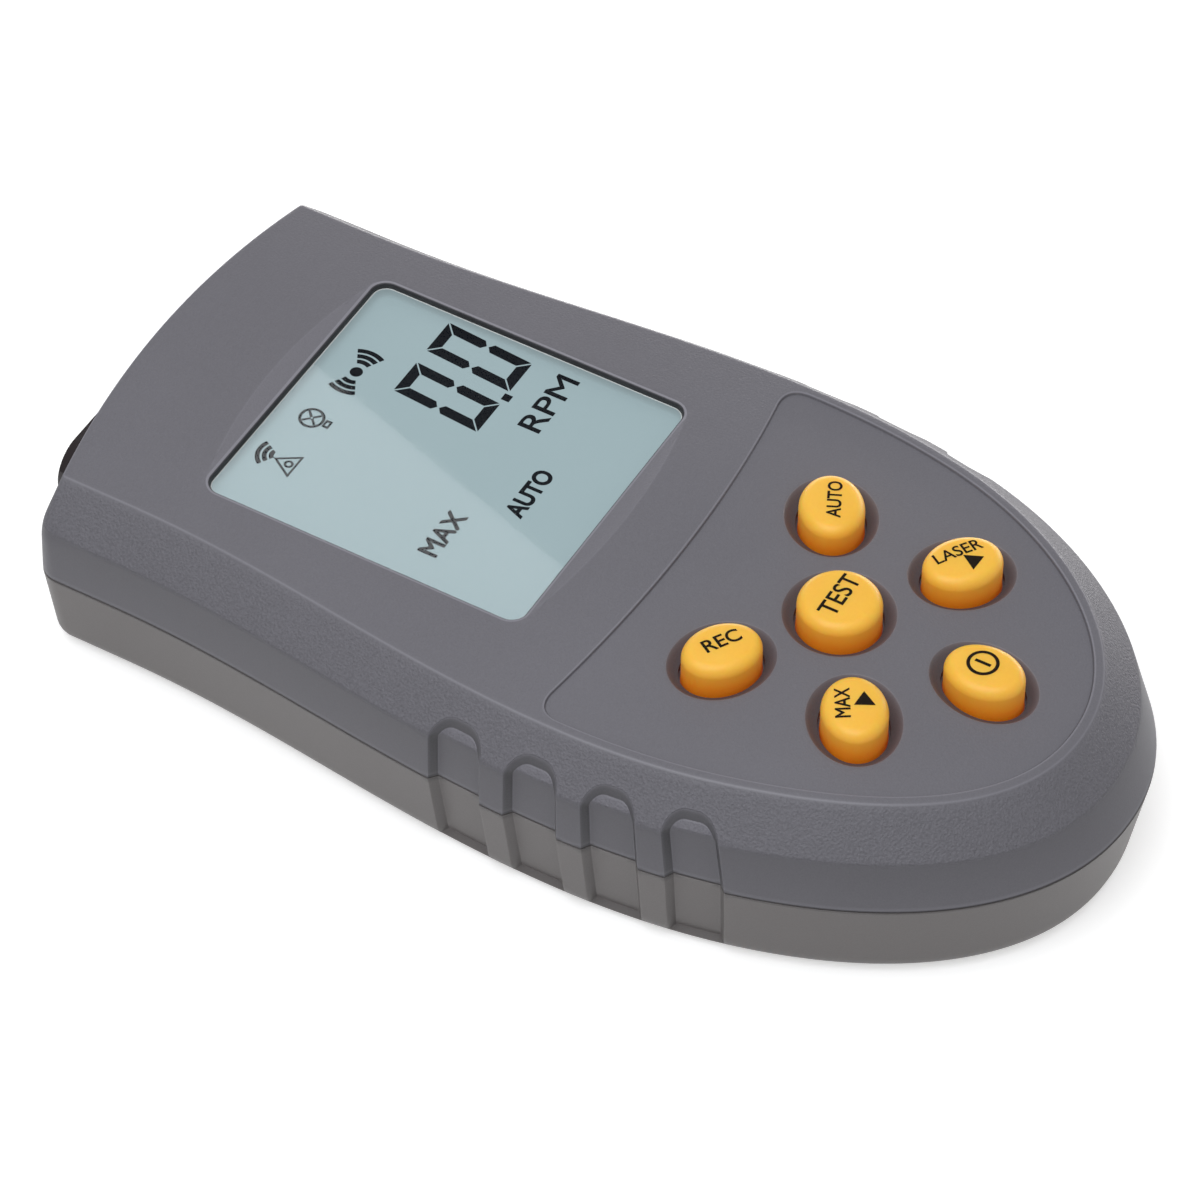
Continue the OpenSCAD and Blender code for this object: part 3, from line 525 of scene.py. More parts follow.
# %% Add the hollows and the end opening
floor_rows = SEAM_ROWS + [1.5, 3.0, 4.6, 6.0]
floor_rows += [SHOULDER_T + d for d in (-0.4, -0.2, 0, 0.2, 0.4)]
floor_x = (-1.8, -1.3, -0.8, -0.3, 0.3, 0.8, 1.3, 1.8)
for centre in GRIP_S:
    for side in (-1, 1):
        for share, deep, painted_shading in GRIP_LOOPS:
            loop = arch(share, GRIP_HIGH, SEAM_UP)
            flat = np.column_stack([side * (centre + loop[:, 0]), up_of(loop[:, 1])])
            mark = etched(flat[:, 1]) * (1.0 if share < 0 or share >= 1 else 0.0)
            # Painted light on the floor of the hollow above the shoulder
            pale = FLOOR_PAINTED_LIGHT * (flat[:, 1] > SHOULDER_T) * (share > 0.9)
            wall.add(flat, GRIP_DEEP * deep, mark, painted_shading + pale + painted_wall_shading(flat[:, 1]))
        for t in floor_rows:
            flat = [(side * centre + x, t) for x in floor_x]
            level = np.full(len(flat), t)
            # Painted light on the floor rows above the shoulder
            tone = painted_wall_shading(level) + FLOOR_PAINTED_LIGHT * (t > SHOULDER_T)
            wall.add(flat, GRIP_DEEP, etched(level), tone, line=False)
mouths = [mouth_of(upper_wall, side, SEAM_UP, FILTER_HIGH) for side in (-1, 1)]
for mouth in mouths:
    wall.add(mouth)
print("points:", len(wall.points))

# %% Fill the strip and bend it round the case
flat, sunk, marks, tri = wall.fill(clear_of(mouths, BELOW_STRIP))
upper = Skin()
upper.add(upper_wall(flat[:, 0], flat[:, 1], sunk), tri, marks)
print("upper wall points:", len(flat))


# %% [markdown]
# The moulding turns in under its lower edge. A short return and the tongue that seats in the lower
# half close the open seam, so only a dark line shows between the halves. The same is done round the
# opening of the measuring end, where the wall's thickness can be seen.

# %% Lower edge of the upper half, and the thickness round the end opening
NEAR, THIN_WALL = 1e-6, 0.3


def turned_in(s, sunk, seam_z, steps):
    """Rows that turn in from a rim, each with how far in it lies and how far up."""
    rows = []
    for inset, up in steps:
        xy = outline(station_at(s)) - outward(s) * (inset + sunk)[:, None]
        rows.append(np.column_stack([xy, np.full(len(s), seam_z + up)]))
    return rows


def rim_row(flat, sunk, at, mouths):
    """Points of a strip along one level, in order round the case up to the end opening."""
    pick = np.where(np.abs(flat[:, 1] - at) < NEAR)[0]
    pick = pick[np.argsort(flat[pick, 0])]
    s = flat[pick, 0]
    outside = (s >= mouths[0][0, 0] - NEAR) & (s <= mouths[1][0, 0] + NEAR)
    return s[outside], sunk[pick][outside]


def show_thickness(skin, bend, mouths, flip_side):
    """The wall's thickness round the end opening, back to the smoked plate."""
    for side, mouth in zip((-1, 1), mouths):
        front = bend(*mouth.T, np.zeros(len(mouth)))
        behind = front.copy()
        behind[:, 1] = np.minimum(behind[:, 1] - THIN_WALL, FILTER_BACK)
        skin.strip([front, behind], flip=side == flip_side)


turn_in = [(0.0, 0), (0.05, -0.03), (0.2, -0.05), (1.0, -0.05), (1.0, -1.35)]
foot_s, foot_sunk = rim_row(flat, sunk, 0.0, mouths)
upper.strip(turned_in(foot_s, foot_sunk, SEAM_UP, turn_in), flip=True)
show_thickness(upper, upper_wall, mouths, -1)
print("points along the lower edge:", len(foot_s))

# %% [markdown]
# ## The face
#
# The face is one shallow crown that falls away to the tail. Cut into it are the display opening
# with a flat crescent slope at each end, the keypad panel, sunk by a hair so that its edge reads
# as a fine line, and six dished rims that guide a finger to the keys. Sculpting could give all
# this, but not the same way twice. Here the crescents come from a slanted plane that meets the
# crown: the curve between them is where the two heights are equal.

# %% Heights of the face
WINDOW_W, WINDOW_L, WINDOW_Y, WINDOW_R = 39.8, 43.0, 25.2, 2.0
RIM_Z = float(crown(np.array(WINDOW_W / 2), np.array(WINDOW_Y)))
RAMP_L = 2.7
RAMP_SLOPE = (CASE_H - RIM_Z) / RAMP_L
LENS_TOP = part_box("display_window")[1].z / MM
PANEL_DEEP = 0.35
print("rim of the window mm:", round(RIM_Z, 2), "window mm:", round(LENS_TOP, 2))


def face_height(x, y):
    """The crown with the crescent slopes of the display opening, their meeting softened."""
    away = np.maximum(0, np.abs(y - WINDOW_Y) - WINDOW_L / 2)
    ramp = RIM_Z + RAMP_SLOPE * away
    top = crown(x, y)
    soft = 0.015
    return (top + ramp - np.sqrt((top - ramp) ** 2 + soft**2)) / 2


def window_loop(margin, step=0.8):
    """The rounded display opening, grown by a margin."""
    r = WINDOW_R + margin
    w, l = WINDOW_W / 2 - WINDOW_R, WINDOW_L / 2 - WINDOW_R
    loop = []
    for k, (sx, sy) in enumerate(((1, 1), (-1, 1), (-1, -1), (1, -1))):
        a = np.radians(90 * k + np.linspace(0, 90, 13))
        loop += [(sx * w + r * math.cos(v), sy * l + r * math.sin(v)) for v in a]
        run = 2 * (w, l)[k % 2]
        n = int(run / step)
        ends = np.array(loop[-1]), np.array(loop[-1])
        ends[1][k % 2] *= -1
        loop += [tuple(ends[0] + (ends[1] - ends[0]) * i / n) for i in range(1, n)]
    return np.array(loop) + [0, WINDOW_Y]


# %% [markdown]
# The largest key is round, and five ovals stand round it, each turned its own way. Dishes, caps and
# legends could each be placed by eye. One table of middles, turns and half widths keeps them in
# step. The panel follows the edge of the face and has a bowed front edge.

# %% Keys in plan, and the outline of their panel
TEST_Y, KEY_X, OVAL = -27.5, 13.0, (4.9, 3.9)
KEYS = {
    "test": ((0, TEST_Y), 0.0, (5.0, 5.0)),
    "rec": ((-KEY_X, TEST_Y + 8.2), -32.2, OVAL),
    "auto": ((KEY_X, TEST_Y + 8.2), 32.2, OVAL),
    "max": ((-KEY_X, TEST_Y - 9.1), 35.0, OVAL),
    "laser": ((KEY_X, TEST_Y - 9.1), -35.0, OVAL),
    "power": ((0, TEST_Y - 18.9), 90.0, OVAL),
}
print("keys:", ", ".join(KEYS))


def oval(key, margin, n=72):
    """The plan of a key, grown by a margin."""
    (x, y), turn, (a, b) = KEYS[key]
    t = np.linspace(0, 2 * math.pi, n, endpoint=False)
    u, v = (a + margin) * np.cos(t), (b + margin) * np.sin(t)
    c, s = math.cos(math.radians(turn)), math.sin(math.radians(turn))
    return np.column_stack([x + u * c - v * s, y + u * s + v * c])


def panel_loop(margin):
    """The keypad panel: inside the edge of the face, with a bowed front edge. A margin grows it."""
    side, tail = CREASE[0] + 1.2, CREASE[1] + 1.2
    wide, tip = CASE_W / 2 - side + margin, WIDEST_Y + CASE_L / 2 - tail + margin
    corner, rounding, front_y, bow = -4.3, 3.2, -7.2, 2.5
    start = corner - rounding
    stop = math.acos(((WIDEST_Y - start) / tip) ** (TAIL_POWER / 2))
    half, power, r = [], 2 / TAIL_POWER, rounding
    for v in np.linspace(0, stop, 64):
        half.append((wide * math.sin(v) ** power, WIDEST_Y - tip * math.cos(v) ** power))
    for t in np.linspace(0, 1, 14)[1:]:
        half.append((wide - r * t * t, start + r * t * (2 - t) - 0.4 * t * t + margin * t))
    for x in np.linspace(wide - r, 0, 26)[1:]:
        half.append((x, front_y + margin + bow * (x / (wide - r)) ** 2))
    half = np.array(half)
    return np.concatenate([half, half[-2:0:-1] * [-1, 1]])


# %% [markdown]
# No moulded edge is sharp: its rounding shows as a thin bright or dark line. A bevel modifier would
# round all edges alike. Here each edge is a few close loops that step down by their own drops, so
# the window, the panel and the dishes each get their own line; the loops also carry a painted
# highlight and painted shade along it.

# %% Draw the edge of the face, the window and its crescents
face = Drawing()
border = upper_wall(COLUMNS, np.full(len(COLUMNS), FACE_T), np.zeros(len(COLUMNS)))[:, :2]
face.add(border[:-1], 0, FACE_ETCH, closed=True)


def slope_painted_light(xy):
    """Painted light on the crescents: their smooth slope is painted a little paler, and its edge
    gets a painted highlight.
    """
    x, y = np.asarray(xy).T
    away = np.abs(y - WINDOW_Y) - WINDOW_L / 2
    under = crown(x, y) - RIM_Z - RAMP_SLOPE * away
    # pale is painted light on the slope; edge is a painted highlight where the slope meets the
    # crown
    pale, edge = 0.25 * np.clip(under / 0.04, 0, 1), 0.4 * np.exp(-((under / 0.02) ** 2))
    return np.clip(away / 0.3, 0, 1) * (pale + edge)


# The window: three quiet loops, then the lip with a painted highlight and painted shade at its
# inner edge (margin, drop, painted light)
LIP = [(1.1, 0, 0), (0.6, 0, 0), (0.44, 0, 0), (0.38, 0.005, 1.2), (0.15, 0.03, 1.2)]
LIP += [(0.1, 0.06, -1.1), (0.03, 0.1, -1.2), (0, 0.24, -1.2)]
for margin, drop, painted_shading in LIP:
    loop = window_loop(margin)
    face.add(loop, drop, FACE_ETCH, painted_shading + slope_painted_light(loop), closed=True)
# The crescents: the curve where the slope meets the crown, with a quiet line on both sides
for sense in (-1, 1):
    x = np.linspace(-19.6, 19.6, 52)
    away = (crown(x, np.full_like(x, WINDOW_Y)) - RIM_Z) / RAMP_SLOPE
    for shift in (-0.25, -0.08, 0, 0.08, 0.25):
        run = np.maximum(away + shift, 0.75 + 0.02 * shift)
        sure = away + shift > 0.8
        line = np.column_stack([x, WINDOW_Y + sense * (WINDOW_L / 2 + run)])[sure]
        face.add(line, 0, FACE_ETCH, slope_painted_light(line))
print("points so far:", len(face.points))

# %% Add the panel and the dishes of the keys
# The panel: its edge steps down steeply, with a rounded lip that gets a painted highlight and
# painted shade at the foot of the step (margin, drop, painted light)
PANEL_EDGE = [(0.5, 0, 0), (0.3, 0, 0), (0.2, 0.01, 0.6), (0.06, 0.06, 0.7), (0, 0.17, -0.2)]
PANEL_EDGE += [(-0.05, 0.3, -0.6), (-0.1, PANEL_DEEP, -0.5)]
PANEL_EDGE += [(-0.2, PANEL_DEEP, 0), (-0.5, PANEL_DEEP, 0)]
for margin, drop, painted_shading in PANEL_EDGE:
    face.add(panel_loop(margin), drop, PANEL_ETCH, painted_shading, closed=True)
# The dishes: a rounded rim, a slope and the edge of the hole (shares of the width and the depth)
HOLE_GAP, DISH_W, DISH_DEEP = 0.3, 1.35, 1.1
DISH = [(1.4, 0), (1.1, 0), (1.03, 0.02), (0.97, 0.07), (0.88, 0.2), (0.7, 0.5)]
DISH += [(0.5, 0.78), (0.3, 0.98), (0.12, 1.1), (0, 1.15)]
for key in KEYS:
    for share, deep in DISH:
        # A painted highlight on the rim, and painted shade that deepens down the dish
        painted_shading = 0.4 if 1 < share < 1.05 else -0.75 * deep
        loop = oval(key, HOLE_GAP + DISH_W * share)
        face.add(loop, PANEL_DEEP + DISH_DEEP * deep, PANEL_ETCH * (share > 1), painted_shading, closed=True)
print("points so far:", len(face.points))

# %% Fill the face and lift it to its height
GRID_STEP, GRID_CLEAR = 1.7, 0.7
drawn = np.array(face.points)
grid_x, grid_y = np.arange(-35, 35.1, GRID_STEP), np.arange(-66, 66, GRID_STEP)
grid = np.stack(np.meshgrid(grid_x, grid_y), -1).reshape(-1, 2)
grid = grid[inside(grid, border) & ~inside(grid, window_loop(1.2))]
for key in KEYS:
    grid = grid[~inside(grid, oval(key, HOLE_GAP + DISH_W * 1.5))]
grid = grid[far_from(grid, drawn, GRID_CLEAR)]
in_panel = inside(grid, panel_loop(0))
etch = np.where(in_panel, PANEL_ETCH, FACE_ETCH)
face.add(grid, np.where(in_panel, PANEL_DEEP, 0), etch, slope_painted_light(grid), line=False)


def on_face(mid):
    keep = inside(mid, border) & ~inside(mid, window_loop(0))
    for key in KEYS:
        keep &= ~inside(mid, oval(key, HOLE_GAP))
    return keep


flat, sunk, marks, tri = face.fill(on_face)
lift = face_height(flat[:, 0], flat[:, 1]) - sunk
upper.add(np.column_stack([flat, lift]), tri, marks)
print("face points:", len(flat))

# %% [markdown]
# Under each rim the wall of the hole goes straight down to a thin ledge that hugs the key, and the
# display opening has a short wall down to its window. A thickened shell would give such walls too.
# Strips between two loops need no modifier, and they weld to the face.

# %% Walls of the openings
LEDGE_GAP, LEDGE_DROP, PAST_WINDOW = 0.06, 0.9, 0.2
loop = window_loop(0)
top_row = np.column_stack([loop, face_height(*loop.T) - LIP[-1][1]])
low_row = np.column_stack([loop, np.full(len(loop), LENS_TOP - PAST_WINDOW)])
upper.strip([top_row, low_row], closed=True, flip=True)
for key in KEYS:
    loop = oval(key, HOLE_GAP)
    top_z = face_height(*loop.T) - PANEL_DEEP - DISH_DEEP * DISH[-1][1]
    hole_top, hole_foot = (np.column_stack([loop, top_z - drop]) for drop in (0, LEDGE_DROP))
    ledge = np.column_stack([oval(key, LEDGE_GAP), top_z - LEDGE_DROP])
    upper.strip([hole_top, hole_foot, ledge], closed=True, flip=True)
upper_case = upper.build("upper_case_skin")
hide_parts("upper_case")
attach(upper_case, "case")

# %% [markdown]
# ## The lower half
#
# The lower half is a smooth tray that leans in towards its back. It carries the lower ends of the
# hollows, the recess of the battery door with the bay behind it, and four deep screw holes. It is
# drawn as a strip like the upper wall, so the hollows of both halves meet at the parting line.

# %% Shape of the lower wall
BASE, BASE_R = (2.26, 2.26, 0.23), 2.9


def lower_wall(s, z, sunk):
    """Points of the lower half; levels below the rounding run in under the back."""
    station = station_at(s)
    top = np.column_stack([outline(station), np.full(len(s), SEAM_LOW)])
    foot = np.column_stack([outline(station, BASE), np.zeros(len(s))])
    under = np.column_stack([outline(station, tuple(v + BASE_R for v in BASE)), np.zeros(len(s))])
    start = part_way(foot, top, np.full(len(s), BASE_R / SEAM_LOW))
    w = np.clip((BASE_R - z) / (2 * BASE_R), 0, 1)[:, None]
    curve = (1 - w) ** 2 * start + 2 * w * (1 - w) * foot + w**2 * under
    place = np.where((z >= BASE_R)[:, None], part_way(foot, top, z / SEAM_LOW), curve)
    place[:, :2] -= outward(s) * np.asarray(sunk)[:, None]
    return place


print("rounding of the back edge mm:", BASE_R)

# %% Draw the lower wall
tray = Drawing()
levels = [SEAM_LOW, 12.75, 12.0, 10.4, 8.6, 6.8, 5.0, 3.8, 2.9]
levels += [2.3, 1.7, 1.1, 0.5, -0.1, -0.7, -1.3, -1.9, -2.4]
for z in levels:
    keep = ~hollow_zone(COLUMNS, z)
    row = np.column_stack([COLUMNS[keep], np.full(keep.sum(), z)])
    # Painted shade in the seam row
    tray.add(row, painted_shading=-0.9 * (z == SEAM_LOW), line=False)
tray.add(np.column_stack([COLUMNS, np.full(len(COLUMNS), -BASE_R)]))
for centre in GRIP_S:
    for side in (-1, 1):
        for share, deep, painted_shading in GRIP_LOOPS:
            loop = arch(share, GRIP_LOW, SEAM_LOW, rim_r=0.5, floor_r=0.4, end_run=1.0)
            # The hollows' painted light, weaker here, with painted shade at the seam
            painted_shading = max(painted_shading, 0.4 * painted_shading) - 0.7 * (loop[:, 1] == SEAM_LOW)
            loop = np.column_stack([side * (centre + loop[:, 0]), loop[:, 1]])
            tray.add(loop, GRIP_DEEP * deep, 0, painted_shading)
        for z in (SEAM_LOW, 12.4, 11.0, 9.4, 7.8, 6.4, 5.0, 3.8, 2.9, 2.2):
            spots = [(side * centre + x, z) for x in (-1.6, -0.55, 0.55, 1.6)]
            tray.add(spots, GRIP_DEEP, line=False)
mouths = [mouth_of(lower_wall, side, SEAM_LOW, FILTER_LOW) for side in (-1, 1)]
for mouth in mouths:
    tray.add(mouth)
print("points:", len(tray.points))

# %% Bend it round the case and turn its rim in
flat, sunk, marks, tri = tray.fill(clear_of(mouths, ABOVE_STRIP))
lower = Skin()
lower.add(lower_wall(flat[:, 0], flat[:, 1], sunk), tri, marks)
turn_in = [(0.0, 0), (0.05, 0.03), (0.2, 0.05), (0.9, 0.05), (0.9, -1.25)]
rim_s, rim_sunk = rim_row(flat, sunk, SEAM_LOW, mouths)
lower.strip(turned_in(rim_s, rim_sunk, SEAM_LOW, turn_in))
show_thickness(lower, lower_wall, mouths, 1)
print("lower wall points:", len(flat))

# %% [markdown]
# The back is flat. The door's recess has a ledge that the door closes against, and ribs round the
# bay keep the battery in place, with gaps for the door's hooks and latch. Typed places would drift
# from the solids, so most of them are read from the boxes of the door and the screws.

# %% Places of the door and the screws
door_low, door_high = (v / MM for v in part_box("battery_door"))
DOOR_GAP, LEDGE_W, LEDGE_Z, BAY_TOP = 0.25, 1.5, 1.85, 16.0
door_x = door_high.x + DOOR_GAP
door_tail, door_head = door_low.y - DOOR_GAP, 0.0
screw_low, screw_high = (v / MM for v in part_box("case_screws"))
HEAD_R, HOLE_R, SEAT_Z = 2.3, 2.5, 6.0
FRONT_SCREW_X = 24.0
screws = [(sx * FRONT_SCREW_X, screw_high.y - HEAD_R) for sx in (-1, 1)]
screws += [(sx * (screw_high.x - HEAD_R), screw_low.y + HEAD_R) for sx in (-1, 1)]
print("screws mm:", [(round(x, 1), round(y, 1)) for x, y in screws])

# %% The back with its recess and screw holes
back = Drawing()
edge = lower_wall(COLUMNS, np.full(len(COLUMNS), -BASE_R), np.zeros(len(COLUMNS)))[:, :2]
back.add(edge[:-1], closed=True)
recess = [(-door_x, door_tail), (door_x, door_tail), (door_x, door_head), (-door_x, door_head)]
recess = np.array(recess)
back.add(recess, closed=True)
turn = np.linspace(0, 2 * math.pi, 40, endpoint=False)
circle = HOLE_R * np.column_stack([np.cos(turn), np.sin(turn)])
holes = [circle + place for place in screws]
for hole in holes:
    back.add(hole, closed=True)


def on_back(mid):
    keep = inside(mid, edge) & ~inside(mid, recess)
    for hole in holes:
        keep &= ~inside(mid, hole)
    return keep


flat, _, _, tri = back.fill(on_back)
lower.add(np.column_stack([flat, np.zeros(len(flat))]), tri[:, ::-1])
for hole in holes:
    walls = [np.column_stack([hole, np.full(len(hole), z)]) for z in (0, SEAT_Z)]
    lower.strip(walls, closed=True, flip=True)
walls = [np.column_stack([recess, np.full(len(recess), z)]) for z in (0, LEDGE_Z)]
lower.strip(walls, closed=True, flip=True)
print("back points:", len(flat))

# %% Ribs of the battery bay, with gaps for the door's hooks and latch
RIB_T, HOOK_IN, HOOK_OUT, HOOK_TOP = 1.2, 4.5, 11.5, 6.0
TAIL_RIB_T, TAIL_RIB_X, LATCH_TOP = 1.1, 12.4, 7.5
bay_x, bay_tail, bay_head = door_x - LEDGE_W, door_tail + LEDGE_W, door_head - LEDGE_W
rib_x = door_x + RIB_T
for side in (-1, 1):
    inner, outer = side * bay_x, side * rib_x
    lower.box((min(inner, outer), bay_tail, LEDGE_Z), (max(inner, outer), bay_head, BAY_TOP))
head_y = door_head + RIB_T
for low_x, high_x in ((-rib_x, -HOOK_OUT), (-HOOK_IN, HOOK_IN), (HOOK_OUT, rib_x)):
    lower.box((low_x, bay_head, LEDGE_Z), (high_x, head_y, HOOK_TOP))
lower.box((-rib_x, bay_head, HOOK_TOP), (rib_x, head_y, BAY_TOP))
rib_y = door_tail - TAIL_RIB_T
for low_x, high_x in ((-TAIL_RIB_X, -HOOK_IN), (HOOK_IN, TAIL_RIB_X)):
    lower.box((low_x, rib_y, LEDGE_Z), (high_x, bay_tail, LATCH_TOP))
lower.box((-TAIL_RIB_X, rib_y, LATCH_TOP), (TAIL_RIB_X, bay_tail, BAY_TOP))
lower_case = lower.build("lower_case_skin")
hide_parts("lower_case")
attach(lower_case, "case")

# %% [markdown]
# ## The keys
#
# Each key is a soft moulding with upright sides, a rounded shoulder and a slightly crowned top. A
# bevelled cylinder would come close. Rings from one height formula are as short, and the same
# formula then carries the printed legend over the crown.

# %% Height of a cap
KEY_EDGE, KEY_CROWN, KEY_SHY = 1.3, 0.28, 0.01


def cap_top(key, x, y):
    """Height of a cap over a point in plan: a crowned top with a rounded edge."""
    (cx, cy), turn, (a, b) = KEYS[key]
    c, s = math.cos(math.radians(turn)), math.sin(math.radians(turn))
    u, v = (x - cx) * c + (y - cy) * s, (y - cy) * c - (x - cx) * s
    low, high = np.full_like(u, -KEY_EDGE), np.zeros_like(u)
    for _ in range(24):
        margin = (low + high) / 2
        beyond = (u / (a + margin)) ** 2 + (v / (b + margin)) ** 2 > 1
        low, high = np.where(beyond, margin, low), np.where(beyond, high, margin)
    round_off = KEY_EDGE * (1 - np.sqrt(1 - np.clip(1 + low / KEY_EDGE, 0, 1) ** 2))
    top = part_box("key_" + key)[1].z / MM - KEY_SHY
    return top - KEY_CROWN * ((u / a) ** 2 + (v / b) ** 2) - round_off


print("rounding of a cap mm:", KEY_EDGE, "crown mm:", KEY_CROWN)

# %% Caps as stacked rings, with the flange that holds each one under the face
FLANGE_W, FLANGE_T, FLANGE_DROP, FOOT_IN = 0.6, 0.35, 2.95, 1.5
key_caps = {}
for key in KEYS:
    (cx, cy), _, (a, b) = KEYS[key]
    lowest = np.array(abs(cx) + (a + FLANGE_W) / 2), np.array(cy - a - FLANGE_W)
    flange_z = float(crown(*lowest)) - FLANGE_DROP
    under_z = flange_z - FLANGE_T
    skin = Skin()
    rings = []
    for share in (0.02, 0.3, 0.55, 0.75, 0.9, 1.0):
        inner = (oval(key, -KEY_EDGE) - [cx, cy]) * share + [cx, cy]
        rings.append(np.column_stack([inner, cap_top(key, *inner.T)]))
    for turn in np.radians(np.linspace(0, 90, 13))[1:]:
        loop = oval(key, -KEY_EDGE * (1 - math.sin(turn)))
        rings.append(np.column_stack([loop, cap_top(key, *loop.T)]))
    flange = [(0.0, flange_z), (FLANGE_W, flange_z), (FLANGE_W, under_z), (-FOOT_IN, under_z)]
    for margin, z in flange:
        loop = oval(key, margin)
        rings.append(np.column_stack([loop, np.full(len(loop), z)]))
    skin.strip(rings, closed=True, flip=True)
    cover = list(range(len(rings[0])))
    skin.add(rings[0], [cover])
    skin.add(rings[-1], [cover[::-1]])
    cap = skin.build("key_cap_" + key, sharp_deg=60)
    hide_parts("key_" + key)
    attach(cap, "key_" + key)
    key_caps[key] = cap

# %% [markdown]
# ## Flat marks
#
# Legends and display segments are thin dark films. Letters come from a plain outline face, and the
# rest are polygons: bars, arcs, discs and seven-segment figures. An image laid over the key would
# blur close up. So each mark is cut into small triangles and laid a hair above the surface that
# carries it.


# %% Films from closed outlines
def film(name, outlines, place, step):
    """A film of closed outlines (mm, holes allowed), meshed finely and put in place."""
    draw = Drawing()
    loops = []
    for loop in outlines:
        loop = np.asarray(loop, float)
        fine = []
        for p, q in zip(loop, np.roll(loop, -1, axis=0)):
            n = max(1, int(np.hypot(*(q - p)) / step))
            fine += [p + (q - p) * i / n for i in range(n)]
        loops.append(np.array(fine))
        draw.add(loops[-1], closed=True)

    def solid(mid):
        count = sum(inside(mid, loop).astype(int) for loop in loops)
        return count % 2 == 1

    flat, _, _, tri = draw.fill(solid)
    skin = Skin()
    skin.add(place(flat), tri)
    return skin.build(name)


# %% Words as outlines
def bolder(loops, by):
    """Letter outlines with more ink: outer loops grow and holes shrink."""
    result = []
    for k, loop in enumerate(loops):
        hole = sum(bool(inside(loop[:1], other)[0]) for j, other in enumerate(loops) if j != k) % 2
        turn = np.sum(loop[:, 0] * np.roll(loop[:, 1], -1) - np.roll(loop[:, 0], -1) * loop[:, 1])
        run = np.roll(loop, -1, axis=0) - loop
        run /= np.linalg.norm(run, axis=1, keepdims=True) + 1e-9
        out = np.column_stack([run[:, 1], -run[:, 0]]) * np.sign(turn) * (-1 if hole else 1)
        both = out + np.roll(out, 1, axis=0)
        result.append(loop + 2 * by * both / np.maximum((both**2).sum(1, keepdims=True), 1.0))
    return result


def word(text, height, stroke=0.0):
    """Outlines of a word, its capitals this tall, middle at the origin, its strokes widened."""
    curve = bpy.data.curves.new("word", "FONT")
    curve.body, curve.size, curve.resolution_u = text, 1.0, 6
    curve.fill_mode = "NONE"
    made = bpy.data.objects.new("word", curve)
    bpy.context.scene.collection.objects.link(made)
    mesh = made.to_mesh()
    co = np.array([v.co[:2] for v in mesh.vertices])
    links = {}
    for a, b in (e.vertices for e in mesh.edges):
        links.setdefault(a, []).append(b)
        links.setdefault(b, []).append(a)
    loops, seen = [], set()
    for start in links:
        if start in seen:
            continue
        loop, here, came = [], start, None
        while here not in seen:
            seen.add(here)
            loop.append(here)
            ahead = [n for n in links[here] if n != came and n not in seen]
            came, here = here, ahead[0] if ahead else start
        loops.append(co[loop])
    made.to_mesh_clear()
    bpy.data.objects.remove(made)
    bpy.data.curves.remove(curve)
    loops = bolder(loops, stroke)
    low, high = np.min(np.concatenate(loops), 0), np.max(np.concatenate(loops), 0)
    scale = height / (high[1] - low[1])
    return [(loop - (low + high) / 2) * scale for loop in loops]


# %% Placing outlines, and simple shapes
def fit(outlines, width=None, turn=0.0, at=(0.0, 0.0), lean=0.0):
    """The same outlines at a width, leaned, turned and moved."""
    every = np.concatenate(outlines)
    stretch = width / np.ptp(every[:, 0]) if width else 1.0
    c, s = math.cos(math.radians(turn)), math.sin(math.radians(turn))
    result = []
    for loop in outlines:
        x, y = loop[:, 0] * stretch + loop[:, 1] * math.tan(math.radians(lean)), loop[:, 1]
        result.append(np.column_stack([x * c - y * s + at[0], x * s + y * c + at[1]]))
    return result


def ring(r, thick, n=40):
    """A round line."""
    a = np.linspace(0, 2 * math.pi, n, endpoint=False)
    unit = np.column_stack([np.cos(a), np.sin(a)])
    return [unit * (r + thick / 2), unit * (r - thick / 2)]


def disc(r, n=24):
    """A dot."""
    a = np.linspace(0, 2 * math.pi, n, endpoint=False)
    return [np.column_stack([np.cos(a), np.sin(a)]) * r]


def arc(r, thick, middle, spread, n=12):
    """Part of a round line, to both sides of a direction in degrees."""
    a = np.radians(np.linspace(middle - spread, middle + spread, n))
    unit = np.column_stack([np.cos(a), np.sin(a)])
    return [np.concatenate([unit * (r + thick / 2), unit[::-1] * (r - thick / 2)])]


def bar(length, thick):
    """A straight stroke."""
    return [np.array([(-length, -thick), (length, -thick), (length, thick), (-length, thick)]) / 2]


# %% [markdown]
# The legends are printed on the rubber in black. Each is drawn round the middle of its key, with a
# word's height, width, turn and place, and rides down with the key when it is pressed.

# %% Legends on the keys
INK_LIFT, INK_STEP = 0.015, 0.12
SIGN_AT, SIGN_LINE = (0.3, 0.45), 0.42
power_sign = fit(ring(1.7, SIGN_LINE), None, 0, SIGN_AT)
power_sign += fit(bar(2.0, SIGN_LINE), None, 90, SIGN_AT)
legends = {
    "test": fit(word("TEST", 2.4, 0.012), 6.7, 0, (0.25, 0.25)),
    "rec": fit(word("REC", 1.95, 0.016), 4.7, -31, (0.5, 0.35)),
    "auto": fit(word("AUTO", 1.75, 0.02), 5.8, 26, (0.35, -0.1)),
    "max": fit(word("MAX", 1.8, 0.02), 4.5, 31, (-0.55, 1.35)),
    "laser": fit(word("LASER", 1.7, 0.014), 6.1, -33, (0.6, 1.05)),
    "power": power_sign,
}
pointer = [np.array([(-0.2, 1.25), (-0.2, -1.25), (1.9, 0)])]
legends["max"] += fit(pointer, None, 31, (0.55, -0.95))
legends["laser"] += fit(pointer, None, -33, (-0.2, -0.95))
legend_films = []
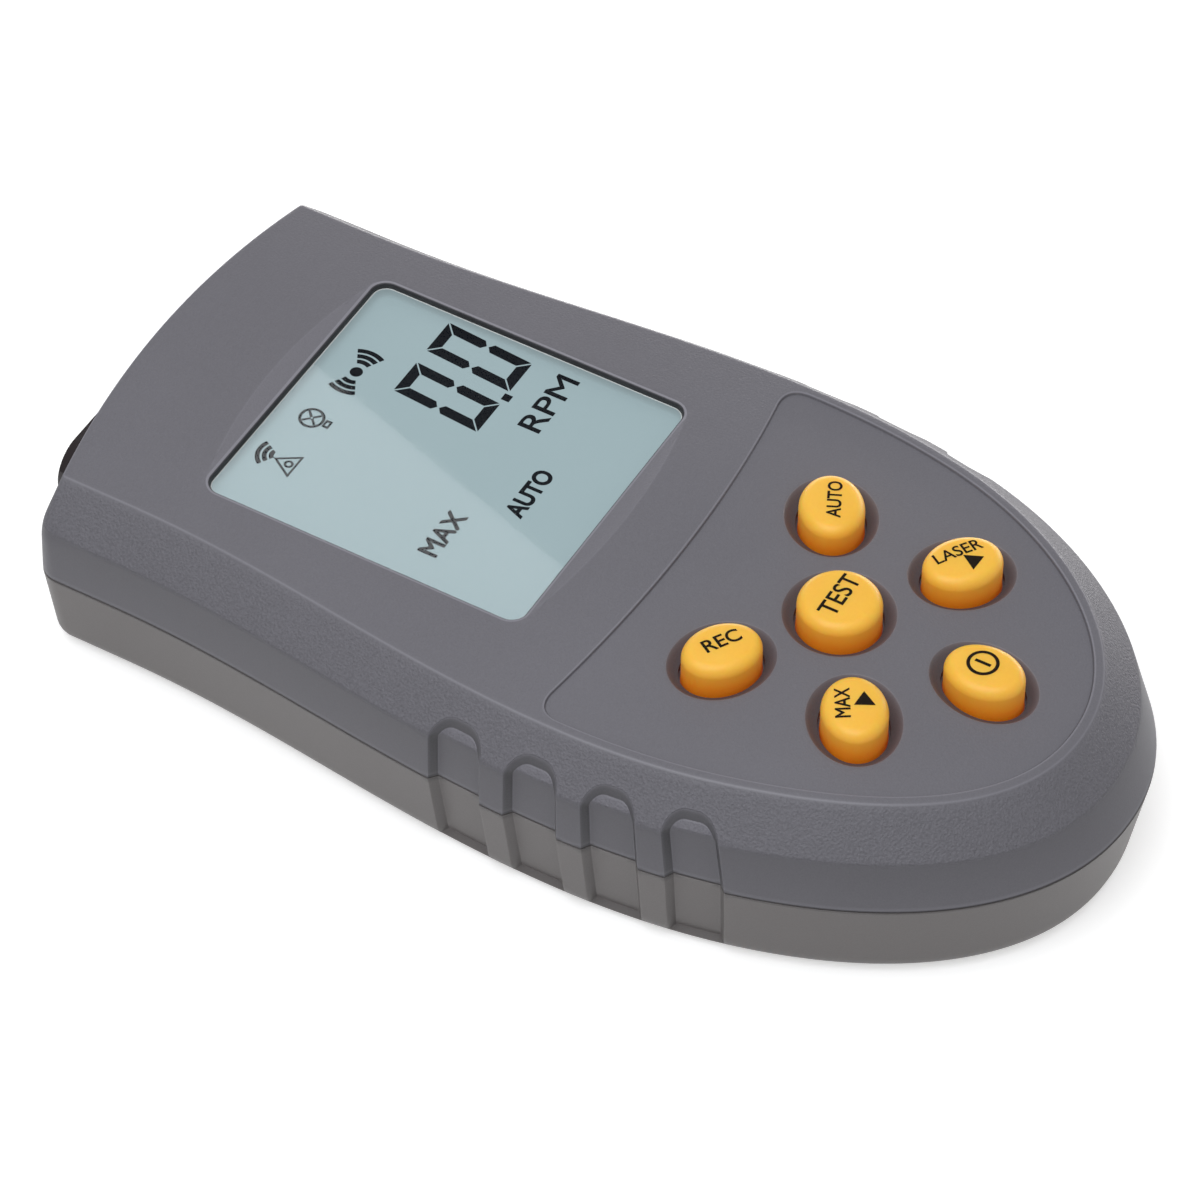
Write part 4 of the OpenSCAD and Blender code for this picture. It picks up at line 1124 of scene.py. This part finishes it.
for key, outlines in legends.items():
    centre = np.array(KEYS[key][0])

    def on_cap(flat, key=key, centre=centre):
        x, y = (flat + centre).T
        return np.column_stack([x, y, cap_top(key, x, y) + INK_LIFT])

    mark = film("legend_" + key, outlines, on_cap, INK_STEP)
    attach(mark, "key_" + key)
    legend_films.append(mark)

# %% [markdown]
# In the real display the dark parts are areas of liquid crystal between two sheets of glass. From
# outside they read as flat, sharp shapes over a pale ground, so they are films on the glass. The
# figures and waves are black, the lamp and the triangle a little paler.


# %% A figure of the display
def digit_zero(width, height, thick, gap=0.14):
    """The six dark bars of a seven-segment nought, lower left corner at the origin."""
    w, h, t, g = width, height, thick, gap
    m = h / 2
    above, below = m + t / 2, m - t / 2
    return [
        np.array([(g, h), (w - g, h), (w - t - g, h - t), (t + g, h - t)]),
        np.array([(g, 0), (t + g, t), (w - t - g, t), (w - g, 0)]),
        np.array([(0, h - g), (t, h - t - g), (t, above), (t / 2, m + g), (0, above)]),
        np.array([(w, h - g), (w, above), (w - t / 2, m + g), (w - t, above), (w - t, h - t - g)]),
        np.array([(0, g), (0, below), (t / 2, m - g), (t, below), (t, t + g)]),
        np.array([(w, g), (w - t, t + g), (w - t, below), (w - t / 2, m - g), (w, below)]),
    ]


# %% Segments and words on the display
DIGIT_W, DIGIT_H, DIGIT_T, DIGIT_LEAN = 5.4, 12.2, 1.4, 4.3
segments = []
for at in ((5.55, -0.7), (13.2, -0.6)):
    segments += fit(digit_zero(DIGIT_W, DIGIT_H, DIGIT_T), None, 0, at, DIGIT_LEAN)
segments += fit(bar(1.1, 1.1), None, 0, (12.2, -0.85))
segments += fit(word("RPM", 3.0, 0.01), 9.8, 0, (13.9, -5.65))
segments += fit(word("AUTO", 2.5, 0.038), 8.2, 0, (0.1, -11.15))
segments += fit(word("MAX", 2.6, 0.03), 7.6, 0, (-10.5, -5.7))
print("outlines of the figures and words:", len(segments))

# %% Small signs on the display
WAVES_AT, BEAM_AT = (6.8, 16.9), (-9.6, 17.6)
segments += fit(disc(0.8), None, 0, WAVES_AT)
for r in (1.75, 2.65, 3.55):
    for middle in (0, 180):
        segments += fit(arc(r, 0.64, middle, 29), None, 0, WAVES_AT)
for r in (0.85, 1.68, 2.51):
    segments += fit(arc(r, 0.58, 105, 44), None, 0, BEAM_AT)
# The lamp: a ring on a socket, with a slanted cross in it
LAMP_X, LAMP_Y, SOCKET_Y, ARM_OUT = -2.35, 17.45, 15.31, 0.68
faint = fit(ring(1.45, 0.38), None, 0, (LAMP_X, LAMP_Y))
faint += fit(bar(1.3, 0.9) + bar(0.6, 0.3), None, 0, (LAMP_X, SOCKET_Y))
for turn in (45, 135, 225, 315):
    c, s = math.cos(math.radians(turn)), math.sin(math.radians(turn))
    faint += fit(bar(1.1, 0.32), None, turn, (LAMP_X + ARM_OUT * c, LAMP_Y + ARM_OUT * s))
# The triangle: an outline with a small ring in it
outer = np.array([(-12.1, 14.8), (-8.2, 14.8), (-10.15, 17.9)])
inner = outer + (np.array([-10.15, 15.83]) - outer) * 0.27
faint += [outer, inner]
faint += fit(ring(0.45, 0.32, 16), None, 0, (-10.15, 15.8))
print("outlines of the small signs:", len(faint))

# %% Lay the marks on the display
MARK_Z, MARK_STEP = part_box("lcd_panel")[1].z / MM + 0.02, 1.0


def on_display(flat):
    return np.column_stack([flat[:, 0], flat[:, 1] + WINDOW_Y, np.full(len(flat), MARK_Z)])


display_marks = film("display_marks", segments, on_display, MARK_STEP)
display_icons = film("display_icons", faint, on_display, MARK_STEP)
for mark in (display_marks, display_icons):
    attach(mark, "case")

# %% [markdown]
# A black band down the opening's wall to its window is painted shade: it darkens the wall as shade
# would. The window's own edge is chamfered, and the light it catches is a thin pale line painted
# inside that band. A bevel on the imported window would change its solid, so both are bands
# through grown copies of the opening's loop.


# %% Painted shade band and painted chamfer highlight of the window
def ring_skin(name, rows):
    """A closed band through loops of the display opening: margins and heights over the window."""
    skin = Skin()
    loops = [(window_loop(margin), LENS_TOP + over) for margin, over in rows]
    skin.strip([np.column_stack([loop, np.full(len(loop), z)]) for loop, z in loops], closed=True)
    made = skin.build(name)
    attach(made, "case")
    return made


# A black band of painted shade on the opening's wall
window_painted_shade = ring_skin("window_painted_shade", [(-0.02, 0.5), (-0.08, 0.5), (-0.16, 0.02)])
# A pale band of painted highlight for the window's chamfered edge
window_chamfer = ring_skin("window_chamfer", [(-0.16, 0.05), (-0.27, 0.01)])

# %% [markdown]
# ## Finishes
#
# Moulded plastic is never one colour or one gloss: faint flow clouds, a fine etch and handling
# polish change it from place to place. Such patterns can be wired by hand in the shader editor.
# Here a small class carries a value through the nodes of one material, so grain and the painted
# highlights and shade are written as plain sums.


# %% Shader sums
class Flow:
    """A value inside one material. Sums on it add Math nodes."""

    def __init__(self, tree, socket):
        self.tree, self.socket = tree, socket

    def node(self, kind, settings, inputs, output=0):
        """Any other node: its settings first, then its inputs by name or place."""
        made = self.tree.nodes.new(kind)
        for key, value in settings.items():
            setattr(made, key, value)
        for key, value in inputs.items():
            if isinstance(value, Flow):
                self.tree.links.new(value.socket, made.inputs[key])
            else:
                made.inputs[key].default_value = value
        return Flow(self.tree, made.outputs[output])

    def sum_node(self, operation, a, b):
        return self.node("ShaderNodeMath", {"operation": operation}, {0: a, 1: b})

    def __add__(self, other):
        return self.sum_node("ADD", self, other)

    __radd__ = __add__

    def __sub__(self, other):
        return self.sum_node("SUBTRACT", self, other)

    def __rsub__(self, other):
        return self.sum_node("SUBTRACT", other, self)

    def __mul__(self, other):
        return self.sum_node("MULTIPLY", self, other)

    __rmul__ = __mul__

    def noise(self, scale, detail=2.0, roughness=0.5):
        """Clouds or grain, as many per metre, read at this position."""
        inputs = {"Vector": self, "Scale": scale, "Detail": detail, "Roughness": roughness}
        return self.node("ShaderNodeTexNoise", {}, inputs)

    def mix(self, first, second):
        """A colour between two, this value being the share of the second."""
        first, second = (v if isinstance(v, Flow) else (*v, 1) for v in (first, second))
        return self.node("ShaderNodeMix", {"data_type": "RGBA"}, {0: self, 6: first, 7: second}, 2)


# %% Materials with one main surface
class Finish:
    """A material with one main surface node, ready for values."""

    def __init__(self, name):
        self.material = bpy.data.materials.new(name)
        self.material.use_nodes = True
        self.tree = self.material.node_tree
        self.surface = self.tree.nodes["Principled BSDF"]
        self.start = Flow(self.tree, None)
        self.place = self.start.node("ShaderNodeTexCoord", {}, {}, 3)

    def set(self, **values):
        """Values or links of the surface's sockets, spaces written as underscores."""
        for key, value in values.items():
            socket = self.surface.inputs[key.replace("_", " ")]
            if isinstance(value, Flow):
                self.tree.links.new(value.socket, socket)
            elif isinstance(value, tuple):
                socket.default_value = (*value, 1)
            else:
                socket.default_value = value
        return self

    def relief(self, height, strength, depth):
        """Bumps of this height pattern, so deep in metres."""
        inputs = {"Strength": strength, "Distance": depth, "Height": height}
        return self.set(Normal=self.start.node("ShaderNodeBump", {}, inputs))

    def mark(self, name):
        """A value stored on the mesh."""
        return self.start.node("ShaderNodeAttribute", {"attribute_name": name}, {}, 2)


# %% [markdown]
# The case is a mid-grey plastic; the lower half's copy of it is warmer, a painted tint for the warm
# light the floor throws up. Spark erosion left a pebbled etch on the bevel and a finer one on the
# face and panel; the walls are nearly smooth. One texture image could hold all this. Noise with the
# stored etch and painted light and shade stays sharp and follows the skins.


# %% Case plastic
def moulding(name, dark, light):
    """Grey plastic between two tones: etched, clouded, with painted highlights on edges and painted
    shade in corners, recesses and seams.
    """
    made = Finish(name)
    etch, painted_shading = made.mark("etch"), made.mark("painted_shading")
    pebble = made.place.noise(3200, 1.0, 0.4)
    speck = made.place.noise(5200, 2.0, 0.6)
    cloud = made.place.noise(45, 3.0, 0.55)
    # The stored painted light and shade moves the tone between the dark and the light grey
    tone = 0.5 + painted_shading * 0.42 + (cloud - 0.5) * 0.10
    tone = tone + (speck - 0.5) * 0.18 + (pebble - 0.5) * etch * 0.3
    made.set(Base_Color=tone.mix(dark, light), Roughness=0.40 + etch * 0.15 + cloud * 0.10)
    made.set(Specular_IOR_Level=0.45)
    made.relief(pebble * etch + speck * (etch * 0.25 + 0.08), 1.0, 0.00016)
    return made


case_plastic = moulding("case_plastic", (0.041, 0.040, 0.046), (0.228, 0.223, 0.256))
# A warmer copy of the case grey: painted warm light from the floor
tray_plastic_painted_bounce = moulding("tray_plastic_painted_bounce", (0.044, 0.041, 0.041), (0.247, 0.227, 0.226))
print("nodes of the case plastic:", len(case_plastic.tree.nodes))

# %% [markdown]
# The keys are soft orange silicone rubber: nearly even in colour, slightly deeper in the pores,
# with a silky surface. Light that soaks in at the top leaves by the sides, which glow a redder
# orange. Scattering alone would need far more samples, so the sides are painted darker and redder
# towards their foot as painted shade, and a faint painted glow on them stands for the scattered
# light.

# %% Key rubber
key_rubber = Finish("key_rubber")
grain = key_rubber.place.noise(2600, 2.0, 0.5)
cloud = key_rubber.place.noise(160, 2.0, 0.5)
cap_place = key_rubber.start.node("ShaderNodeTexCoord", {}, {})
height = cap_place.node("ShaderNodeSeparateXYZ", {}, {0: cap_place}, 2)
# side: painted shade and painted glow that grow towards the foot of each cap
side = (0.92 - height) * 2.0
top_orange = (grain * 0.4 + cloud * 0.6).mix((0.85, 0.456, 0.041), (0.94, 0.540, 0.062))
key_rubber.set(
    Base_Color=side.mix(top_orange, (0.82, 0.31, 0.012)),
    Emission_Color=side.mix((0, 0, 0), (0.13, 0.008, 0.0)),
    Emission_Strength=1.0,
    Roughness=0.40 + cloud * 0.12,
    Subsurface_Weight=0.5,
    Subsurface_Scale=0.0025,
)
key_rubber.surface.inputs["Subsurface Radius"].default_value = (1.0, 0.3, 0.05)
key_rubber.relief(grain, 0.15, 0.00005)
print("nodes of the key rubber:", len(key_rubber.tree.nodes))

# %% [markdown]
# The prints on the keys and the dark parts of the display are thin and dull. A flat black would do
# from afar; a little unevenness keeps them from looking cut out.


# %% Inks
def ink(name, dark, pale, roughness, scale, grain):
    """A thin dull film, a little uneven in colour and gloss."""
    made = Finish(name)
    wear = made.place.noise(scale, 2.0, grain)
    made.set(Base_Color=wear.mix(dark, pale), Roughness=roughness + wear * 0.1)
    return made.set(Specular_IOR_Level=0.05)


print_ink = ink("print_ink", (0.006, 0.005, 0.004), (0.022, 0.016, 0.010), 0.5, 1800, 0.6)
segment_ink = ink("segment_ink", (0.002, 0.003, 0.006), (0.006, 0.008, 0.012), 0.4, 300, 0.5)
icon_ink = ink("icon_ink", (0.010, 0.015, 0.019), (0.018, 0.024, 0.028), 0.4, 300, 0.5)
print("nodes of an ink:", len(print_ink.tree.nodes))

# %% [markdown]
# The window is clear acrylic, the display a pale blue-grey reflector under glass, and the plate at
# the measuring end is smoked dark. Full refraction through two close sheets is slow and noisy. A
# mix of a see-through and a mirror surface gives the window the same look, and a painted glow,
# stronger than the display's lit colour, stands for the light that the reflector sends back, so
# the window's edge casts little shade on it.


# %% Display, window and filter
def clear_sheet(name, tint, gloss):
    """A clear hard sheet: most light passes, some mirrors off its surface."""
    made = Finish(name)
    haze = made.place.noise(120, 2.0, 0.5)
    through = made.start.node("ShaderNodeBsdfTransparent", {}, {"Color": (*tint, 1)})
    mirror = made.start.node("ShaderNodeBsdfAnisotropic", {}, {"Roughness": haze * 0.02 + gloss})
    outer_side = 1 - made.start.node("ShaderNodeNewGeometry", {}, {}, 6)
    edge = made.start.node("ShaderNodeFresnel", {}, {"IOR": 1.45}) * outer_side * 0.4
    mixed = made.start.node("ShaderNodeMixShader", {}, {0: edge, 1: through, 2: mirror})
    out = made.tree.nodes["Material Output"]
    made.tree.links.new(mixed.socket, out.inputs["Surface"])
    made.tree.nodes.remove(made.surface)
    return made


window_sheet = clear_sheet("window_sheet", (0.97, 0.985, 0.985), 0.01)
display_glass = Finish("display_glass")
cloud = display_glass.place.noise(40, 2.0, 0.5)
# The glow is painted light: it is stronger than the display's lit colour
display_glass.set(
    Base_Color=cloud.mix((0.132, 0.170, 0.182), (0.144, 0.182, 0.194)),
    Emission_Color=cloud.mix((0.232, 0.288, 0.305), (0.242, 0.298, 0.315)),
    Emission_Strength=1.0,
    Roughness=0.45 + cloud * 0.05,
    Specular_IOR_Level=0.0,
)
# The chamfer's pale colour is a painted highlight
chamfer_painted_highlight = Finish("chamfer_painted_highlight")
cloud = chamfer_painted_highlight.place.noise(90, 2.0, 0.5)
chamfer_painted_highlight.set(
    Base_Color=cloud.mix((0.43, 0.46, 0.46), (0.55, 0.58, 0.58)),
    Roughness=0.25 + cloud * 0.1,
)
filter_plate = Finish("filter_plate")
cloud = filter_plate.place.noise(60, 2.0, 0.5)
filter_plate.set(
    Base_Color=cloud.mix((0.010, 0.006, 0.008), (0.016, 0.010, 0.012)),
    Roughness=0.06 + cloud * 0.05,
)
print("nodes of the window sheet:", len(window_sheet.tree.nodes))

# %% [markdown]
# Board, battery, lenses and screws sit inside the closed case or on its back. They could stay grey.
# A plain finish with a little cloud in it costs a line each, and it makes an opened or taken-apart
# view true.


# %% Finishes of the inner pieces
def plain(name, low, high, roughness, scale):
    """A moulded, turned or plated finish with a little cloud in its colour and gloss."""
    made = Finish(name)
    cloud = made.place.noise(scale, 2.0, 0.5)
    made.set(Base_Color=cloud.mix(low, high), Roughness=roughness + cloud * 0.12)
    return made.relief(cloud, 0.1, 0.00004)


black_plastic = plain("black_plastic", (0.016, 0.016, 0.018), (0.028, 0.028, 0.030), 0.45, 900)
black_rubber = plain("black_rubber", (0.02, 0.02, 0.02), (0.035, 0.035, 0.035), 0.7, 900)
silicone = plain("silicone", (0.50, 0.50, 0.47), (0.58, 0.58, 0.55), 0.5, 300)
board_mask = plain("board_mask", (0.020, 0.12, 0.05), (0.032, 0.17, 0.075), 0.35, 500)
turned_brass = plain("turned_brass", (0.62, 0.43, 0.16), (0.75, 0.55, 0.24), 0.25, 1200)
plated_steel = plain("plated_steel", (0.50, 0.50, 0.52), (0.66, 0.66, 0.68), 0.28, 1500)
for metal in (turned_brass, plated_steel):
    metal.set(Metallic=1.0)
battery_wrap = plain("battery_wrap", (0.025, 0.025, 0.030), (0.045, 0.045, 0.052), 0.35, 200)
red_sleeve = plain("red_sleeve", (0.42, 0.02, 0.02), (0.52, 0.035, 0.03), 0.4, 600)
ceramic = plain("ceramic", (0.40, 0.32, 0.22), (0.55, 0.45, 0.32), 0.5, 800)
print("nodes of a plain finish:", len(ceramic.tree.nodes))

# %% [markdown]
# Last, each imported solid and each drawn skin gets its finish. A table by finish is easier to read
# than a line for each piece.

# %% Give every piece its finish
small_black = ["lcd_frame", "optics_holder", "photodiode"]
small_black += ["battery_snap", "driver_chip", "lead_black"]
wears = {
    tray_plastic_painted_bounce: ["battery_door"],
    window_sheet: ["display_window", "laser_lens", "receiver_lens"],
    display_glass: ["lcd_panel"],
    filter_plate: ["front_window"],
    black_plastic: small_black,
    black_rubber: ["zebra_strips"],
    silicone: ["keypad_mat"],
    board_mask: ["main_board"],
    turned_brass: ["laser_module"],
    plated_steel: ["crystal", "case_screws", "board_screws"],
    battery_wrap: ["battery"],
    red_sleeve: ["lead_red", "laser_leads"],
    ceramic: ["small_parts"],
}
for finish, names in wears.items():
    for name in names:
        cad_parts[name].data.materials.clear()
        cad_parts[name].data.materials.append(finish.material)
dressed = {upper_case: case_plastic, lower_case: tray_plastic_painted_bounce}
dressed.update({window_painted_shade: black_plastic, window_chamfer: chamfer_painted_highlight})
dressed.update({cap: key_rubber for cap in key_caps.values()})
dressed.update({mark: print_ink for mark in legend_films})
dressed.update({display_marks: segment_ink, display_icons: icon_ink})
for made, finish in dressed.items():
    made.data.materials.append(finish.material)
print("finishes:", len(set(wears) | set(dressed.values())))

# %% [markdown]
# ## Light, floor and camera
#
# The picture is a bright product shot on white. The long lens looks down on the near left side,
# from a place and with a turn that were fitted to the outline of the case. They could be set by eye
# in the viewport, but a fitted camera lets every later measure be trusted.

# %% Camera
LENS_MM, SENSOR_MM = 191.558, 36.0
eye = Vector((-439.4785, -251.0743, 572.2559)) * MM
right = Vector((0.50386726, -0.86377993, 0.00142050))
ahead = Vector((0.58065078, 0.33749160, -0.74090761))
camera = bpy.data.objects.new("camera", bpy.data.cameras.new("camera"))
bpy.context.scene.collection.objects.link(camera)
axes = Matrix((right, right.cross(ahead), -ahead)).transposed()
camera.matrix_world = Matrix.Translation(eye) @ axes.to_4x4()
camera.data.lens, camera.data.sensor_width = LENS_MM, SENSOR_MM
camera.data.clip_start, camera.data.clip_end = 0.05, 20.0
bpy.context.scene.camera = camera
print("camera mm from the part:", round(eye.length / MM))

# %% [markdown]
# The floor is white paper that fades into the white around it. A bright paper would throw too much
# light up at the walls, so it is darker to the rays that only light the part than to those that see
# the paper.


# %% Floor and surroundings
def sheet_mesh(name, corners):
    """One flat face of the stage."""
    mesh = bpy.data.meshes.new(name)
    mesh.from_pydata([tuple(c) for c in corners], [], [tuple(range(len(corners)))])
    made = bpy.data.objects.new(name, mesh)
    bpy.context.scene.collection.objects.link(made)
    return made


FLOOR_HALF, FLOOR_Z = 4, -0.0002
spots = [(-FLOOR_HALF, -FLOOR_HALF), (FLOOR_HALF, -FLOOR_HALF)]
spots += [(FLOOR_HALF, FLOOR_HALF), (-FLOOR_HALF, FLOOR_HALF)]
floor = sheet_mesh("floor", [(x, y, FLOOR_Z) for x, y in spots])
paper = Finish("white_paper")
cloud = paper.place.noise(3, 1.0, 0.5)
ray = paper.start.node("ShaderNodeLightPath", {}, {})
seen = ray
for kind in ("Is Glossy Ray", "Is Transmission Ray"):
    seen = seen + Flow(paper.tree, ray.socket.node.outputs[kind])
paper.set(
    Base_Color=(seen - cloud * 0.04).mix((0.30, 0.30, 0.30), (0.74, 0.74, 0.74)),
    Emission_Color=seen.mix((0.183, 0.183, 0.183), (0.5, 0.5, 0.5)),
    Emission_Strength=1.0,
    Roughness=0.9,
)
floor.data.materials.append(paper.material)
world = bpy.data.worlds.new("studio")
bpy.context.scene.world = world
world.use_nodes = True
background = world.node_tree.nodes["Background"].inputs
background["Color"].default_value = (1.0, 0.985, 0.965, 1)
background["Strength"].default_value = 0.5
print("floor m across:", 2 * FLOOR_HALF)

# %% [markdown]
# A big soft light hangs overhead, a little to the camera's side, and a low strip of light pales the
# far side. A sky image could light the part as well. Two plain lights are easier to move and leave
# the mirror in the window clean.


# %% Lights
def soft_light(name, place, aim, size, watts, colour):
    """A rectangle of light in metres, turned to what it lights."""
    lamp = bpy.data.lights.new(name, "AREA")
    lamp.shape, lamp.energy, lamp.color = "RECTANGLE", watts, colour
    lamp.size, lamp.size_y = size
    made = bpy.data.objects.new(name, lamp)
    made.location = place
    made.rotation_mode = "QUATERNION"
    made.rotation_quaternion = (Vector(aim) - Vector(place)).to_track_quat("-Z", "Y")
    bpy.context.scene.collection.objects.link(made)
    return made


soft_light(
    "overhead",
    place=(-0.35, 0.0, 1.0),
    aim=(0, 0, 0),
    size=(0.8, 0.8),
    watts=7.5,
    colour=(0.95, 0.975, 1.0),
)
far_side = soft_light(
    "far_side",
    place=(0.3, 0.06, 0.013),
    aim=(0, 0, 0.013),
    size=(0.5, 0.024),
    watts=0.67,
    colour=(1.0, 0.97, 0.96),
)
far_side.visible_camera = False
print("lights:", len(bpy.data.lights))

# %% [markdown]
# A white card mirrors in the window, and its edge shows there as a slanted change of brightness.
# The card could be moved about until the line sits right. It is quicker to work backwards: the edge
# lies in the plane through the camera's mirror image and the wanted line on the window.

# %% The card that mirrors in the window
EDGE_HEAD, EDGE_TAIL, CARD_LEFT, CARD_REACH = (4.3, 21.4), (-10.0, -23.9), -60, 2.2
mirror_eye = Vector((eye.x, eye.y, 2 * LENS_TOP * MM - eye.z))
corners = []
for x, y in (EDGE_HEAD, EDGE_TAIL, (CARD_LEFT, EDGE_TAIL[1]), (CARD_LEFT, EDGE_HEAD[1])):
    spot = Vector((x, WINDOW_Y + y, LENS_TOP)) * MM
    corners.append(mirror_eye + (spot - mirror_eye) * CARD_REACH)
card = sheet_mesh("mirror_card", corners)
glow = Finish("card_glow")
glow.set(Base_Color=(0, 0, 0), Roughness=1.0, Emission_Color=(1, 1, 1), Emission_Strength=6.0)
card.data.materials.append(glow.material)
bpy.context.scene.view_settings.view_transform = "Standard"
print("card corners mm:", [[round(v / MM) for v in c] for c in corners])
